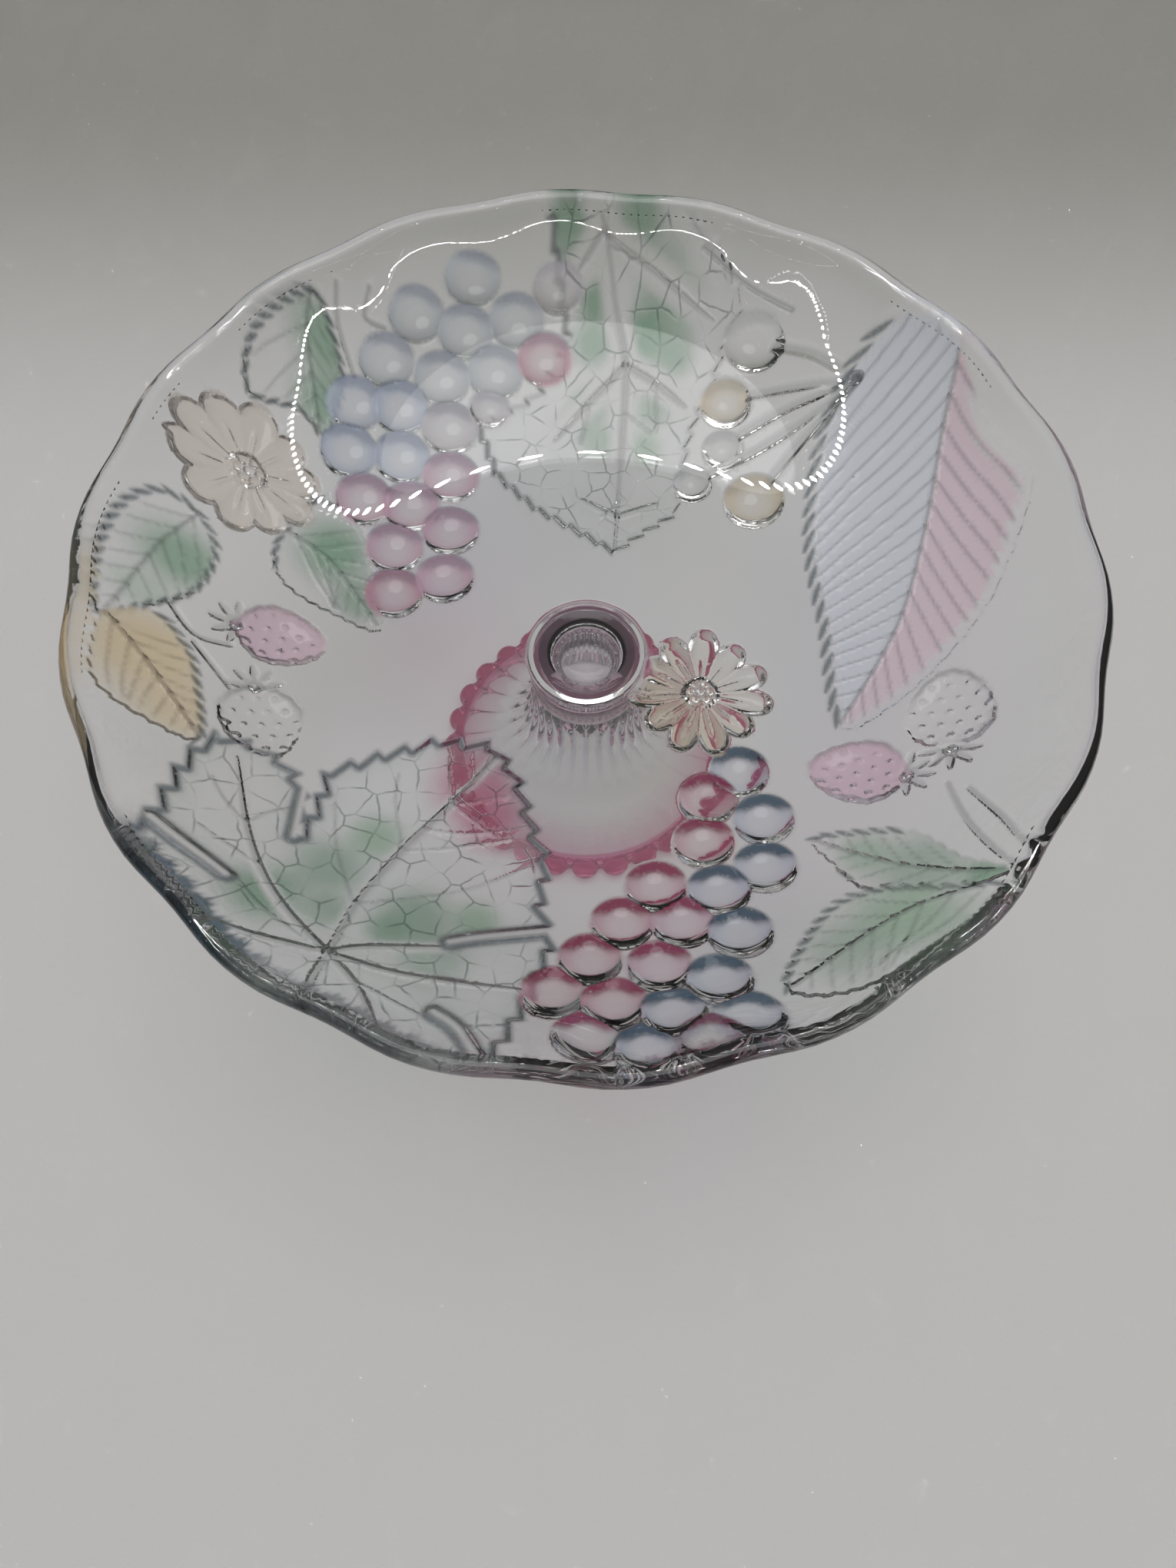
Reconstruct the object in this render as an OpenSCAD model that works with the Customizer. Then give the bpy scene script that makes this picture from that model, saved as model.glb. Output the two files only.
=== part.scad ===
// Two-piece footed glass bowl: a wide shallow bowl with fruit, flower and
// leaf relief on its underside, a hollow fluted foot with a beaded base, and
// a moulded push-in connector between them.
// Units are millimetres. The origin is at the centre of the foot's base, +Z up.

/* [Overall] */

// Mean diameter of the scalloped rim
rim_d = 320; // [240:1:400]
// Height from the base to the top of the lip
height = 145; // [110:1:200]
// Height of the bowl's underside at its centre
under_z = 84; // [60:1:120]

/* [Bowl] */

// Radius of the flat middle of the bowl
floor_r = 60; // [30:1:90]
// Thickness of the glass
wall = 5; // [3:0.1:8]
// Radius of the rounded lip
lip_r = 3.2; // [2:0.1:5]
// Number of gentle scallops round the rim
scallops = 18; // [8:1:36]
// Half the difference between a scallop's crest and its dent
scallop_amp = 1.4; // [0:0.1:4]
// How far the leaves stand out from the underside
leaf_raise = 1.0; // [0.4:0.1:2]
// How far the round fruit stand out from the underside
fruit_raise = 2.0; // [0.8:0.1:4]
// Half width of one grape
grape_r = 8.4; // [5:0.1:12]

/* [Joint] */

// Inner radius of the bowl's collar
collar_r = 16.2; // [12:0.1:24]
// Thickness of the collar's wall
collar_wall = 4.3; // [2:0.1:6]
// Height of the collar below the underside
collar_h = 10; // [5:0.5:16]
// Radial clearance between the lugs and the collar
lug_clear = 0.05; // [0.01:0.01:0.1]
// Radius of the bore in the foot's neck
bore_r = 14; // [10:0.1:15]
// Radial interference of the connector's barrel in the bore
press = 0.02; // [0:0.01:0.05]
// Number of lugs round the connector
lugs = 14; // [6:1:24]
// Number of fine ribs inside the connector's cup
ribs = 40; // [16:1:60]

/* [Foot] */

// Radius to the middle of the base beads
bead_ring_r = 53.7; // [40:0.1:80]
// Radius of one bead
bead_r = 5.6; // [3:0.1:8]
// Number of beads and of flutes
beads = 28; // [16:1:40]
// Outer radius of the narrowest part of the foot
waist_r = 20; // [15:0.5:24]
// Radius of the foot's outward sweep
sweep_r = 44; // [30:1:60]
// How far each flute stands out
flute_raise = 0.9; // [0.3:0.1:2]

/* [Part] */

// Node to draw

/* [Hidden] */
$fn = 96;
e = 0.01;

rim_r = rim_d / 2;
neck_z = under_z - collar_h;
collar_out = collar_r + collar_wall;

// The wall is an arc that starts level at the edge of the flat middle and
// ends at the centre of the lip.
lip_x = rim_r + scallop_amp - lip_r - 0.4;
lip_z = height - lip_r;
run = lip_x - floor_r;
rise = lip_z - (under_z + wall / 2);
arc_mid = (run * run + rise * rise) / (2 * rise);
arc_out = arc_mid + wall / 2;
arc_z = under_z + arc_out;

// Height of the underside at a distance from the axis
function under(r) = r <= floor_r ? under_z
    : arc_z - sqrt(max(arc_out * arc_out - (r - floor_r) * (r - floor_r), 1));
// Tilt of the underside there, in degrees
function tilt(r) = r <= floor_r ? 0 : asin(min((r - floor_r) / arc_out, 0.99));

// ---------------------------------------------------------------- bowl

module wall_band(out, inn) {
    // The strip between two offsets of the underside, out below it and inn
    // above it, from the axis to the lip.
    translate([0, under_z - out]) square([floor_r + e, out + inn]);
    intersection() {
        translate([floor_r, arc_z]) difference() {
            circle(r = arc_out + out, $fn = 360);
            circle(r = arc_out - inn, $fn = 360);
        }
        translate([floor_r, 0]) square([rim_r, lip_z]);
    }
}

module scallop_outline() {
    n = scallops * 12;
    polygon([for (i = [0 : n - 1]) let (a = i * 360 / n,
        r = rim_r + scallop_amp * cos(scallops * (a - 15)))
        [r * cos(a), r * sin(a)]]);
}

module bowl_shell() {
    intersection() {
        rotate_extrude() {
            intersection() {
                wall_band(0, wall);
                // the arc stops at the lip's centre line
                difference() {
                    square([rim_r + 10, height]);
                    translate([lip_x, lip_z]) rotate(tilt(lip_x))
                        translate([0, -20]) square([40, 60]);
                }
            }
            translate([lip_x, lip_z]) circle(r = lip_r, $fn = 48);
        }
        translate([0, 0, under_z - 20]) linear_extrude(height)
            scallop_outline();
    }
}

// A rounded button on the underside at plan position p, standing out by h.
module button(p, r, h) {
    d = norm(p);
    cap = (r * r + h * h) / (2 * h);
    translate([p[0], p[1], under(d)])
        rotate([0, 0, atan2(p[1], p[0])])
            rotate([0, -tilt(d), 0])
                rotate([180, 0, 0]) rotate_extrude($fn = 32) {
                    intersection() {
                        translate([0, h - cap]) circle(r = cap, $fn = 120);
                        square([r + 1, h + 1]);
                    }
                    translate([0, -1.8]) square([r * 0.985, 1.8 + e]);
                }
}

// One row of grapes: first centre, number in the row, step to the next
module grape_row(first, count, step) {
    for (i = [0 : count - 1])
        button(first + i * step, grape_r, fruit_raise);
}

module far_bunch() {
    grape_row([-67, 126], 4, [18.2, 4]);
    grape_row([-78, 111], 4, [19.4, 3.6]);
    grape_row([-88, 95], 3, [17.8, 1]);
    grape_row([-90, 77], 3, [18.6, -1.4]);
    grape_row([-84, 60], 2, [18, -3]);
    grape_row([-71, 42], 2, [18, 4]);
    grape_row([-70, 23], 2, [18, 4]);
}

module near_bunch() {
    grape_row([52, -47], 1, [0, 0]);
    grape_row([40, -60], 2, [19, -7]);
    grape_row([39, -76], 2, [19, -8]);
    grape_row([22, -91], 2, [20, -3]);
    grape_row([12, -107], 3, [18, -3]);
    grape_row([3, -122], 3, [18, -4]);
    grape_row([-9, -136], 4, [17.5, -3]);
}

// A pointed leaf in plan with a toothed edge, from base to tip
module leaf_plan(base, tip, half, teeth) {
    v = tip - base;
    len = norm(v);
    n = teeth * 2;
    function edge(t) = half * pow(sin(180 * pow(t, 0.85)), 0.8);
    translate(base) rotate(atan2(v[1], v[0]))
        polygon(concat([[0, 0]],
            [for (i = [1 : n - 1]) let (t = i / n)
                [t * len, -edge(t) - (i % 2 == 0 ? 0 : 1.6)]],
            [[len, 0]],
            [for (i = [n - 1 : -1 : 1]) let (t = i / n)
                [t * len, edge(t) + (i % 2 == 0 ? 0 : 1.6)]]));
}

module near_vine_leaf_plan() {
    polygon([[-105, -117], [-105, -101], [-124, -87], [-128, -70],
        [-118, -45], [-100, -51], [-91, -80], [-86, -52], [-69, -42],
        [-50, -38], [-29, -39], [-19, -59], [-12, -82], [-14, -102],
        [-42, -115], [-8, -114], [-16, -132], [-25, -154], [-44, -142],
        [-52, -147], [-80, -134]]);
}

module far_vine_leaf_plan() {
    polygon([[4, 156], [-6, 150], [-4, 130], [-12, 105], [-33, 86],
        [-17, 64], [-4, 54], [10, 43], [23, 52], [31, 64], [33, 84],
        [40, 98], [45, 112], [56, 132], [50, 145], [39, 150], [20, 155]]);
}

module flower_plan(c, r) {
    translate(c) for (i = [0 : 10]) rotate(i * 360 / 11 + 8)
        translate([r * 0.62, 0]) scale([1, 0.5]) circle(r = r * 0.38, $fn = 20);
}

module leaf_relief() {
    intersection() {
        rotate_extrude() wall_band(leaf_raise, 1.5);
        translate([0, 0, under_z - 10]) linear_extrude(height) {
            near_vine_leaf_plan();
            far_vine_leaf_plan();
            leaf_plan([-101, 119], [-100, 81], 13, 8);
            leaf_plan([-136, 38], [-152, -14], 12, 9);
            leaf_plan([-105, 46], [-71, 8], 14, 9);
            leaf_plan([-153, -14], [-124, -49], 13, 8);
            leaf_plan([124, 92], [88, -30], 31, 16);
            leaf_plan([116, -97], [75, -76], 14, 9);
            leaf_plan([108, -108], [62, -132], 15, 9);
            flower_plan([-121, 58], 24);
            flower_plan([40, -16], 26);
        }
    }
}

module collar() {
    translate([0, 0, neck_z]) difference() {
        cylinder(h = collar_h + wall / 2, r = collar_out);
        translate([0, 0, -1]) cylinder(h = collar_h + 1, r = collar_r);
    }
}

module bowl() color([0.86, 0.82, 0.86, 0.35]) {
    bowl_shell();
    leaf_relief();
    far_bunch();
    near_bunch();
    // cherries beside the far vine leaf
    button([62, 121], 11.5, fruit_raise);
    button([52, 104], 9.5, fruit_raise);
    button([54, 87], 7.3, fruit_raise);
    button([40, 73], 7.3, fruit_raise);
    button([62, 65], 11.5, fruit_raise);
    // two pairs of strawberries
    button([-106, -2], 13.5, fruit_raise);
    button([-108, -36], 13.5, fruit_raise);
    button([121, -33], 13.5, fruit_raise);
    button([90, -51], 14, fruit_raise);
    // the flowers' beaded middles
    button([-121, 58], 6, fruit_raise);
    button([40, -16], 6, fruit_raise);
    collar();
}

// ----------------------------------------------------------- connector

cup_z = neck_z + 4.4;
barrel_z = neck_z - 16;

module connector() color([0.88, 0.88, 0.9, 0.5]) {
    difference() {
        union() {
            // barrel pressed into the foot's neck
            translate([0, 0, barrel_z])
                cylinder(h = neck_z - barrel_z, r = bore_r + press);
            // rim of the cup, standing inside the collar
            translate([0, 0, neck_z - e]) cylinder(h = cup_z - neck_z + e, r = bore_r);
        }
        // cup with fine ribs down its wall
        translate([0, 0, barrel_z + 5]) linear_extrude(40)
            polygon([for (i = [0 : 4 * ribs - 1]) let (a = i * 90 / ribs,
                r = (i % 4 < 2) ? bore_r - 1.0 : bore_r - 1.7)
                [r * cos(a), r * sin(a)]]);
        // notches in the cup's rim
        for (i = [0 : lugs - 1]) rotate(i * 360 / lugs)
            translate([bore_r - 3, -1.4, cup_z - 1.4]) cube([5, 2.8, 3]);
    }
    // lugs that locate the bowl's collar and rest on the neck
    difference() {
        translate([0, 0, neck_z]) cylinder(h = 3.4, r = collar_r - lug_clear);
        translate([0, 0, neck_z - 1]) cylinder(h = 6, r = bore_r - 0.5);
        for (i = [0 : lugs - 1]) rotate((i + 0.5) * 360 / lugs)
            translate([bore_r - 0.1, -1.8, neck_z + 0.9]) cube([6, 3.6, 5]);
    }
}

// ---------------------------------------------------------------- foot

sweep_x = waist_r + sweep_r;
sweep_z = 10 + sweep_r;

module foot_profile(grow) {
    // glass to the left of the sweep's arc, grow moves its surface outwards
    difference() {
        square([bead_ring_r + 2.5, neck_z]);
        translate([sweep_x, sweep_z]) circle(r = sweep_r - grow, $fn = 360);
        translate([waist_r + grow, sweep_z]) square([80, neck_z]);
    }
}

module foot_hollow() {
    // bore, inner sweep and the open base
    square([bore_r, neck_z + 1]);
    difference() {
        square([bead_ring_r - 3.7, sweep_z]);
        translate([sweep_x, sweep_z])
            circle(r = sweep_r + waist_r - bore_r, $fn = 360);
    }
    translate([0, -1]) square([bead_ring_r - 3.7, 8]);
}

module foot() color([0.84, 0.78, 0.84, 0.35]) {
    difference() {
        union() {
            rotate_extrude() foot_profile(0);
            // raised panels between the flutes
            intersection() {
                rotate_extrude() difference() {
                    foot_profile(flute_raise);
                    square([200, 11]);
                }
                linear_extrude(neck_z - 7) union() {
                    circle(r = waist_r - 1);
                    for (i = [0 : beads - 1]) rotate((i + 0.5) * 360 / beads)
                        polygon([[0, 0], [60, -3.6], [60, 3.6]]);
                }
            }
            // ring at the top of the neck
            translate([0, 0, neck_z - 6]) cylinder(h = 6, r = collar_out);
            translate([0, 0, neck_z - 9])
                cylinder(h = 3 + e, r1 = waist_r, r2 = collar_out);
            for (i = [0 : beads - 1]) rotate(i * 360 / beads)
                translate([bead_ring_r, 0, bead_r + 0.3])
                    sphere(r = bead_r, $fn = 24);
        }
        rotate_extrude() foot_hollow();
    }
}

bowl();
connector();
foot();
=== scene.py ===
"""Footed glass bowl in three pieces: bowl, push-in connector and foot.

The bowl is clear pressed glass. Its inside is smooth, and its underside
carries fruit, flowers and leaves in relief, coloured with soft stains. The
relief is worked out as a height map in plan millimetres, and the underside of
a spun shell is refined and moved to follow it.
"""
from __future__ import annotations

import logging
import math
from dataclasses import dataclass, field
from enum import Enum
from typing import Any, Callable, Iterable, Sequence

import bmesh
import bpy
import numpy as np
from mathutils import Matrix, Vector

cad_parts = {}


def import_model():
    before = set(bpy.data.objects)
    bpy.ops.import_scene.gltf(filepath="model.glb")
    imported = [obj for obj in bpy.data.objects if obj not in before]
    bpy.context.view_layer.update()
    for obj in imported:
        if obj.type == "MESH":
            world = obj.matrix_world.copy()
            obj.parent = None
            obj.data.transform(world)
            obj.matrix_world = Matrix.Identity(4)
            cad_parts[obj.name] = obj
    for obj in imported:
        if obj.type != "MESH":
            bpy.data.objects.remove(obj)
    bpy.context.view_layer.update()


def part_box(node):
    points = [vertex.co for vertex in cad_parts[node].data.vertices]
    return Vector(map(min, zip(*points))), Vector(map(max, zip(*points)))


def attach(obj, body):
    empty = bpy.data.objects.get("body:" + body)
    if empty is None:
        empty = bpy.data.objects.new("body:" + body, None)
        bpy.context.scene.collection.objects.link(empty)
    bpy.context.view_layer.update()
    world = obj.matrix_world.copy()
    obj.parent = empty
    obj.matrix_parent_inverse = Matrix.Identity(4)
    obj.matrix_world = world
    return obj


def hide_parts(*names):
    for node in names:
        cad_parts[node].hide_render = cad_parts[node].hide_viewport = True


log = logging.getLogger("glass_bowl")

MM = 0.001
# radius at which the flat floor ends, and the radius of the wall's arc, in mm
FLOOR_R, WALL_ARC = 60.0, 114.6
# keeps a division from failing where a length is nothing, in mm
TINY = 1e-6
# longer than anything on the map, in mm
FAR_OFF = 1e9
GLASS_IOR, PLASTIC_IOR = 1.5, 1.49
Point = tuple[float, float]
Window = tuple[slice, slice]


# --------------------------------------------------------------- colours

def linear(hex_value: str) -> tuple[float, float, float]:
    """Turns an sRGB hex value into linear light.

    Args:
        hex_value: A colour such as "#C6E4C6".

    Returns:
        Red, green and blue from 0 to 1.
    """
    parts = [int(hex_value[i:i + 2], 16) / 255 for i in (1, 3, 5)]
    return tuple(c / 12.92 if c <= 0.04045 else ((c + 0.055) / 1.055) ** 2.4
                 for c in parts)


def rgba(hex_value: str) -> tuple[float, float, float, float]:
    """A colour in linear light with a full alpha, as a node takes it."""
    return (*linear(hex_value), 1.0)


class Stain(Enum):
    """The airbrushed stains and painted shade, as one layer's tint of white
    light.
    """

    CLEAR = "#FFFFFF"
    FROST = "#E2E6E6"
    GREEN = "#96C29C"
    DEEP_GREEN = "#5F9C70"
    BLUE = "#BCCFF4"
    GREY_BLUE = "#C6D4E4"
    PINK = "#F4C4DC"
    ROSE = "#EC9CC0"
    DEEP_ROSE = "#DC7098"
    MAUVE = "#D8CEDA"
    CREAM = "#F0E0D0"
    AMBER = "#F2D8A8"
    PEARL_BLUE = "#E9EDF8"
    PEARL_PINK = "#F3D6E2"
    # these two draw lines and also serve as painted shade on edges of leaves,
    # petals and fruit
    TEAL_LINE_AND_SHADE = "#3C4C54"
    GREY_LINE_AND_SHADE = "#6E7476"
    BROWN_INK = "#84705E"
    PLUM_INK = "#5C2440"
    WINE = "#7A1238"
    NAVY = "#1C3444"
    SMOKE = "#8E96A4"
    DUSTY = "#C69CB0"

    @property
    def rgb(self) -> np.ndarray:
        """The tint in linear light."""
        return np.array(linear(self.value), dtype=np.float32)


# ------------------------------------------------------- plan geometry

def smoothstep(x: np.ndarray) -> np.ndarray:
    """The usual smooth rise from 0 to 1."""
    x = np.clip(x, 0.0, 1.0)
    return x * x * (3.0 - 2.0 * x)


def unit_step(degrees: float) -> Point:
    """A step of length 1 in a direction on the plan."""
    return math.cos(math.radians(degrees)), math.sin(math.radians(degrees))


def spline(points: Sequence[Point], per: int = 8, closed: bool = False
           ) -> list[Point]:
    """A smooth line through a few points.

    Args:
        points: The points the line passes through.
        per: Steps between two points.
        closed: Whether the line returns to its start.

    Returns:
        The points along the line.
    """
    p = [np.array(q, dtype=float) for q in points]
    n = len(p)
    out: list[Point] = []
    for i in range(n if closed else n - 1):
        if closed:
            a, b, c, d = (p[(i + k - 1) % n] for k in range(4))
        else:
            a, b = p[max(i - 1, 0)], p[i]
            c, d = p[i + 1], p[min(i + 2, n - 1)]
        for k in range(per):
            t = k / per
            q = 0.5 * (2 * b + (c - a) * t + (2 * a - 5 * b + 4 * c - d) * t * t
                       + (3 * b - a - 3 * c + d) * t ** 3)
            out.append((float(q[0]), float(q[1])))
    if not closed:
        out.append(tuple(map(float, p[-1])))
    return out


@dataclass
class Path:
    """A line of points, measured along its length.

    Attributes:
        points: The points in plan mm, one in each row.
    """

    points: np.ndarray

    def __post_init__(self) -> None:
        """Measures the parts between the points."""
        self.parts = np.linalg.norm(np.diff(self.points, axis=0), axis=1)
        self.along = np.concatenate([[0.0], np.cumsum(self.parts)])
        self.length = self.along[-1]

    @classmethod
    def closed(cls, outline: Sequence[Point]) -> Path:
        """The line round an outline, back to its start."""
        return cls(np.array([*outline, outline[0]], dtype=float))

    def side(self) -> float:
        """Tells which way a closed line runs.

        Returns:
            +1 if it runs anticlockwise, -1 if it runs clockwise.
        """
        p = self.points
        area = np.sum(p[:-1, 0] * p[1:, 1] - p[1:, 0] * p[:-1, 1])
        return 1.0 if area > 0 else -1.0

    def at(self, s: float) -> tuple[np.ndarray, np.ndarray]:
        """The place and the direction at a length along the line.

        Args:
            s: Length from the start in mm. Before the start and after the
                end, the line runs straight on.

        Returns:
            The place in plan mm, and the direction as a unit vector.
        """
        k = int(np.searchsorted(self.along, s, side="right")) - 1
        k = max(0, min(k, len(self.parts) - 1))
        way = self.points[k + 1] - self.points[k]
        part = max(self.parts[k], TINY)
        return self.points[k] + way * ((s - self.along[k]) / part), way / part


def toothed(outline: Sequence[Point], pitch: float, depth: float,
            lean: float = 0.75) -> list[Point]:
    """Cuts saw teeth into a closed outline.

    Args:
        outline: The leaf's plain outline, anticlockwise or clockwise.
        pitch: Length of one tooth in mm.
        depth: Depth of one tooth in mm.
        lean: Where along a tooth its point stands, from 0 to 1.

    Returns:
        The outline with its teeth.
    """
    path = Path.closed(outline)
    side = path.side()
    count = max(int(path.length / pitch), 3)
    out: list[Point] = []
    for i in range(count):
        for share, push in ((0.0, -0.5), (lean, 0.5)):
            q, d = path.at((i + share) / count * path.length)
            normal = np.array([d[1], -d[0]]) * side
            q = q + normal * push * depth
            out.append((float(q[0]), float(q[1])))
    return out


def line_distance(x: np.ndarray, y: np.ndarray, points: Sequence[Point]
                  ) -> tuple[np.ndarray, np.ndarray]:
    """Distance to a line of points, and which side of it each place is on.

    Args:
        x: Plan x in mm.
        y: Plan y in mm.
        points: The line.

    Returns:
        The distance in mm, and +1 on the line's left or -1 on its right.
    """
    best = np.full(x.shape, FAR_OFF, dtype=np.float32)
    side = np.ones(x.shape, dtype=np.float32)
    for (ax, ay), (bx, by) in zip(points[:-1], points[1:]):
        dx, dy = bx - ax, by - ay
        length = dx * dx + dy * dy + 1e-9
        t = np.clip(((x - ax) * dx + (y - ay) * dy) / length, 0, 1)
        d = np.hypot(x - ax - t * dx, y - ay - t * dy)
        cross = dx * (y - ay) - dy * (x - ax)
        closer = d < best
        best = np.where(closer, d, best)
        side = np.where(closer, np.sign(cross), side)
    return best, side


def inside_distance(x: np.ndarray, y: np.ndarray, outline: Sequence[Point]
                    ) -> np.ndarray:
    """Distance to a closed outline, positive inside it.

    Args:
        x: Plan x in mm.
        y: Plan y in mm.
        outline: The outline's corners.

    Returns:
        The signed distance in mm.
    """
    best = np.full(x.shape, FAR_OFF, dtype=np.float32)
    inside = np.zeros(x.shape, dtype=bool)
    n = len(outline)
    for i in range(n):
        ax, ay = outline[i]
        bx, by = outline[(i + 1) % n]
        dx, dy = bx - ax, by - ay
        t = np.clip(((x - ax) * dx + (y - ay) * dy)
                    / (dx * dx + dy * dy + 1e-9), 0, 1)
        best = np.minimum(best, np.hypot(x - ax - t * dx, y - ay - t * dy))
        if ay != by:
            crosses = (y < ay) != (y < by)
            inside ^= crosses & (x < dx * (y - ay) / dy + ax)
    return np.where(inside, best, -best)


# ----------------------------------------------------------- relief map

@dataclass
class ReliefMap:
    """Height, stain and frosting of the bowl's underside, by plan place.

    Attributes:
        rim: Radius of the rim, in mm.
        half: Half the side of the square map, in mm.
        step: Spacing of the map, in mm.
        squeeze: Plan length of 1 mm of the map's y, so that motifs drawn on
            a slightly long plan fit the round bowl.
        budget: About how many triangles the underside may take.
        end: Radius at which the relief has faded out before the lip, in mm.
        fade: Over how many mm it fades.
        hub: Radius of the collar, inside which nothing is moulded, in mm.
        finest: The smallest triangle size, in mm.
        coarsest: The largest triangle size, in mm.
        curve_size: Scale of the triangle size where the relief bends.
        stain_size: Scale of the triangle size where the stain changes.
        growth: How much the size may grow for each mm of distance.
        fill: Area of a triangle as a share of the square of its size.
    """

    rim: float = 160.8
    half: float = 168.0
    step: float = 0.3
    squeeze: float = 0.975
    budget: float = 118000.0
    end: float = 158.5
    fade: float = 2.5
    hub: float = 22.0
    finest: float = 0.8
    coarsest: float = 8.0
    curve_size: float = 0.9
    stain_size: float = 0.6
    growth: float = 0.7
    fill: float = 0.2

    def __post_init__(self) -> None:
        """Starts with a plain clear underside."""
        n = int(2 * self.half / self.step) + 1
        self.n = n
        axis = np.linspace(-self.half, self.half, n, dtype=np.float32)
        self.x, self.y = np.meshgrid(axis, axis, indexing="xy")
        self.r = np.hypot(self.x, self.y * self.squeeze)
        self.height = np.zeros((n, n), dtype=np.float32)
        self.tint = np.ones((n, n, 3), dtype=np.float32)
        self.milk = np.zeros((n, n), dtype=np.float32)
        self.cells = np.zeros((n, n), dtype=np.float32)

    def window(self, points: Iterable[Point], pad: float = 4.0
               ) -> Window:
        """The part of the map around some points.

        Args:
            points: Plan points in mm.
            pad: Room left round them, in mm.

        Returns:
            Row and column slices.
        """
        q = np.array(list(points), dtype=float)
        low = ((q.min(axis=0) - pad + self.half) / self.step).astype(int)
        high = ((q.max(axis=0) + pad + self.half) / self.step).astype(int) + 2
        low = np.clip(low, 0, self.n - 1)
        high = np.clip(high, 1, self.n)
        return slice(low[1], high[1]), slice(low[0], high[0])

    def raise_to(self, win: Window, height: np.ndarray) -> None:
        """Lifts the relief to a height where it is lower."""
        self.height[win] = np.maximum(self.height[win], height)

    def carve(self, win: Window, depth: np.ndarray) -> None:
        """Cuts into the relief by a depth."""
        self.height[win] -= depth

    def spray(self, win: Window, stain: Stain,
              amount: np.ndarray, milk: float = 0.0) -> None:
        """Lays a stain over what is there.

        Args:
            win: Where.
            stain: Which stain.
            amount: Its strength from 0 to 1.
            milk: How milky the stain is, from 0 to 1.
        """
        a = np.clip(amount, 0, 1)[..., None]
        self.tint[win] = self.tint[win] * (1 - a) + stain.rgb * a
        self.milk[win] = (self.milk[win] * (1 - a[..., 0])
                          + milk * a[..., 0])

    def darken(self, win: Window, stain: Stain,
               amount: np.ndarray) -> None:
        """Multiplies in a dark line."""
        a = np.clip(amount, 0, 1)[..., None]
        self.tint[win] *= 1 - a * (1 - stain.rgb)

    def stroke(self, points: Sequence[Point], half_width: float,
               height: float, stain: Stain = Stain.GREY_LINE_AND_SHADE,
               ink: float = 0.6, inside: np.ndarray | None = None,
               win: Window | None = None,
               ends: Point = (1.0, 1.0)) -> None:
        """Draws one raised or engraved line with a darker edge.

        Args:
            points: The line's points.
            half_width: Half its width in mm.
            height: Height in mm, negative to engrave.
            stain: Colour of the dark line.
            ink: Strength of the dark line.
            inside: Mask that limits the line, the size of win.
            win: Where to work; found from the points if not given.
            ends: Width at its first and last point, as a share of the
                width in the middle.
        """
        if win is None:
            win = self.window(points, half_width * 3 + 1)
        x, y = self.x[win], self.y[win]
        d, _ = line_distance(x, y, points)
        width = half_width
        if ends != (1.0, 1.0):
            a, b = np.array(points[0]), np.array(points[-1])
            t = ((x - a[0]) * (b - a)[0] + (y - a[1]) * (b - a)[1]) / float(
                np.dot(b - a, b - a) + 1e-9)
            first, last = np.clip(1 - 2 * t, 0, 1), np.clip(2 * t - 1, 0, 1)
            width = half_width * (1 - (1 - ends[0]) * first ** 2
                                  - (1 - ends[1]) * last ** 2)
        body = smoothstep(1.25 - d / (width * 1.6))
        mark = smoothstep(1.4 - d / width)
        if inside is not None:
            body, mark = body * inside, mark * inside
        self.height[win] += height * body
        self.darken(win, stain, ink * mark)

    def smooth(self, array: np.ndarray, times: int) -> np.ndarray:
        """Blurs an array a little, so that steps have soft feet.

        Args:
            array: One of the map's arrays.
            times: How often it is blurred.

        Returns:
            The blurred array.
        """
        for _ in range(times):
            for axis in (0, 1):
                array = (np.roll(array, 1, axis) + 2 * array
                         + np.roll(array, -1, axis)) / 4
        return array

    def settle(self) -> None:
        """Softens the relief and works out how fine the mesh has to be."""
        fade = smoothstep((self.end - self.r) / self.fade)
        self.height = self.smooth(self.height * fade, 2)
        self.tint = self.smooth(self.tint, 1)
        dy, dx = np.gradient(self.height, self.step)
        dxx = np.gradient(dx, self.step, axis=1)
        dyy = np.gradient(dy, self.step, axis=0)
        bend = self.smooth(np.abs(dxx) + np.abs(dyy), 3)
        luma = self.tint.mean(axis=2)
        gy, gx = np.gradient(luma, self.step)
        change = self.smooth(np.hypot(gx, gy), 3)
        # the shading normals are exact, so a curve takes coarser triangles
        # than an edge between two stains
        size = np.sqrt(self.curve_size / np.maximum(bend, 1e-4))
        size = np.minimum(size, self.stain_size
                          / np.maximum(change, 1e-3) ** 0.7)
        size = np.clip(size, self.finest, self.coarsest)
        # neighbouring triangles grow gradually, so that none is a sliver
        for reach in (1, 2, 4, 8):
            for axis in (0, 1):
                for way in (reach, -reach):
                    size = np.minimum(size, np.roll(size, way, axis)
                                      + self.growth * reach * self.step)
        on_wall = (self.r > self.hub) & (self.r < self.rim)
        count = float(np.sum(self.step ** 2
                             / (self.fill * size[on_wall] ** 2)))
        log.info("relief: about %d triangles wanted", count)
        self.size = size * max(1.0, math.sqrt(count / self.budget))

    def at(self, array: np.ndarray, x: np.ndarray, y: np.ndarray
           ) -> np.ndarray:
        """Reads the map between its points.

        Args:
            array: One of the map's arrays.
            x: Plan x in mm.
            y: Plan y in mm.

        Returns:
            The value at each place.
        """
        u = np.clip((x + self.half) / self.step, 0, self.n - 1.001)
        v = np.clip((y / self.squeeze + self.half) / self.step, 0,
                    self.n - 1.001)
        i, j = u.astype(int), v.astype(int)
        s, t = u - i, v - j
        if array.ndim == 3:
            s, t = s[:, None], t[:, None]
        return (array[j, i] * (1 - s) * (1 - t) + array[j, i + 1] * s * (1 - t)
                + array[j + 1, i] * (1 - s) * t + array[j + 1, i + 1] * s * t)


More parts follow.
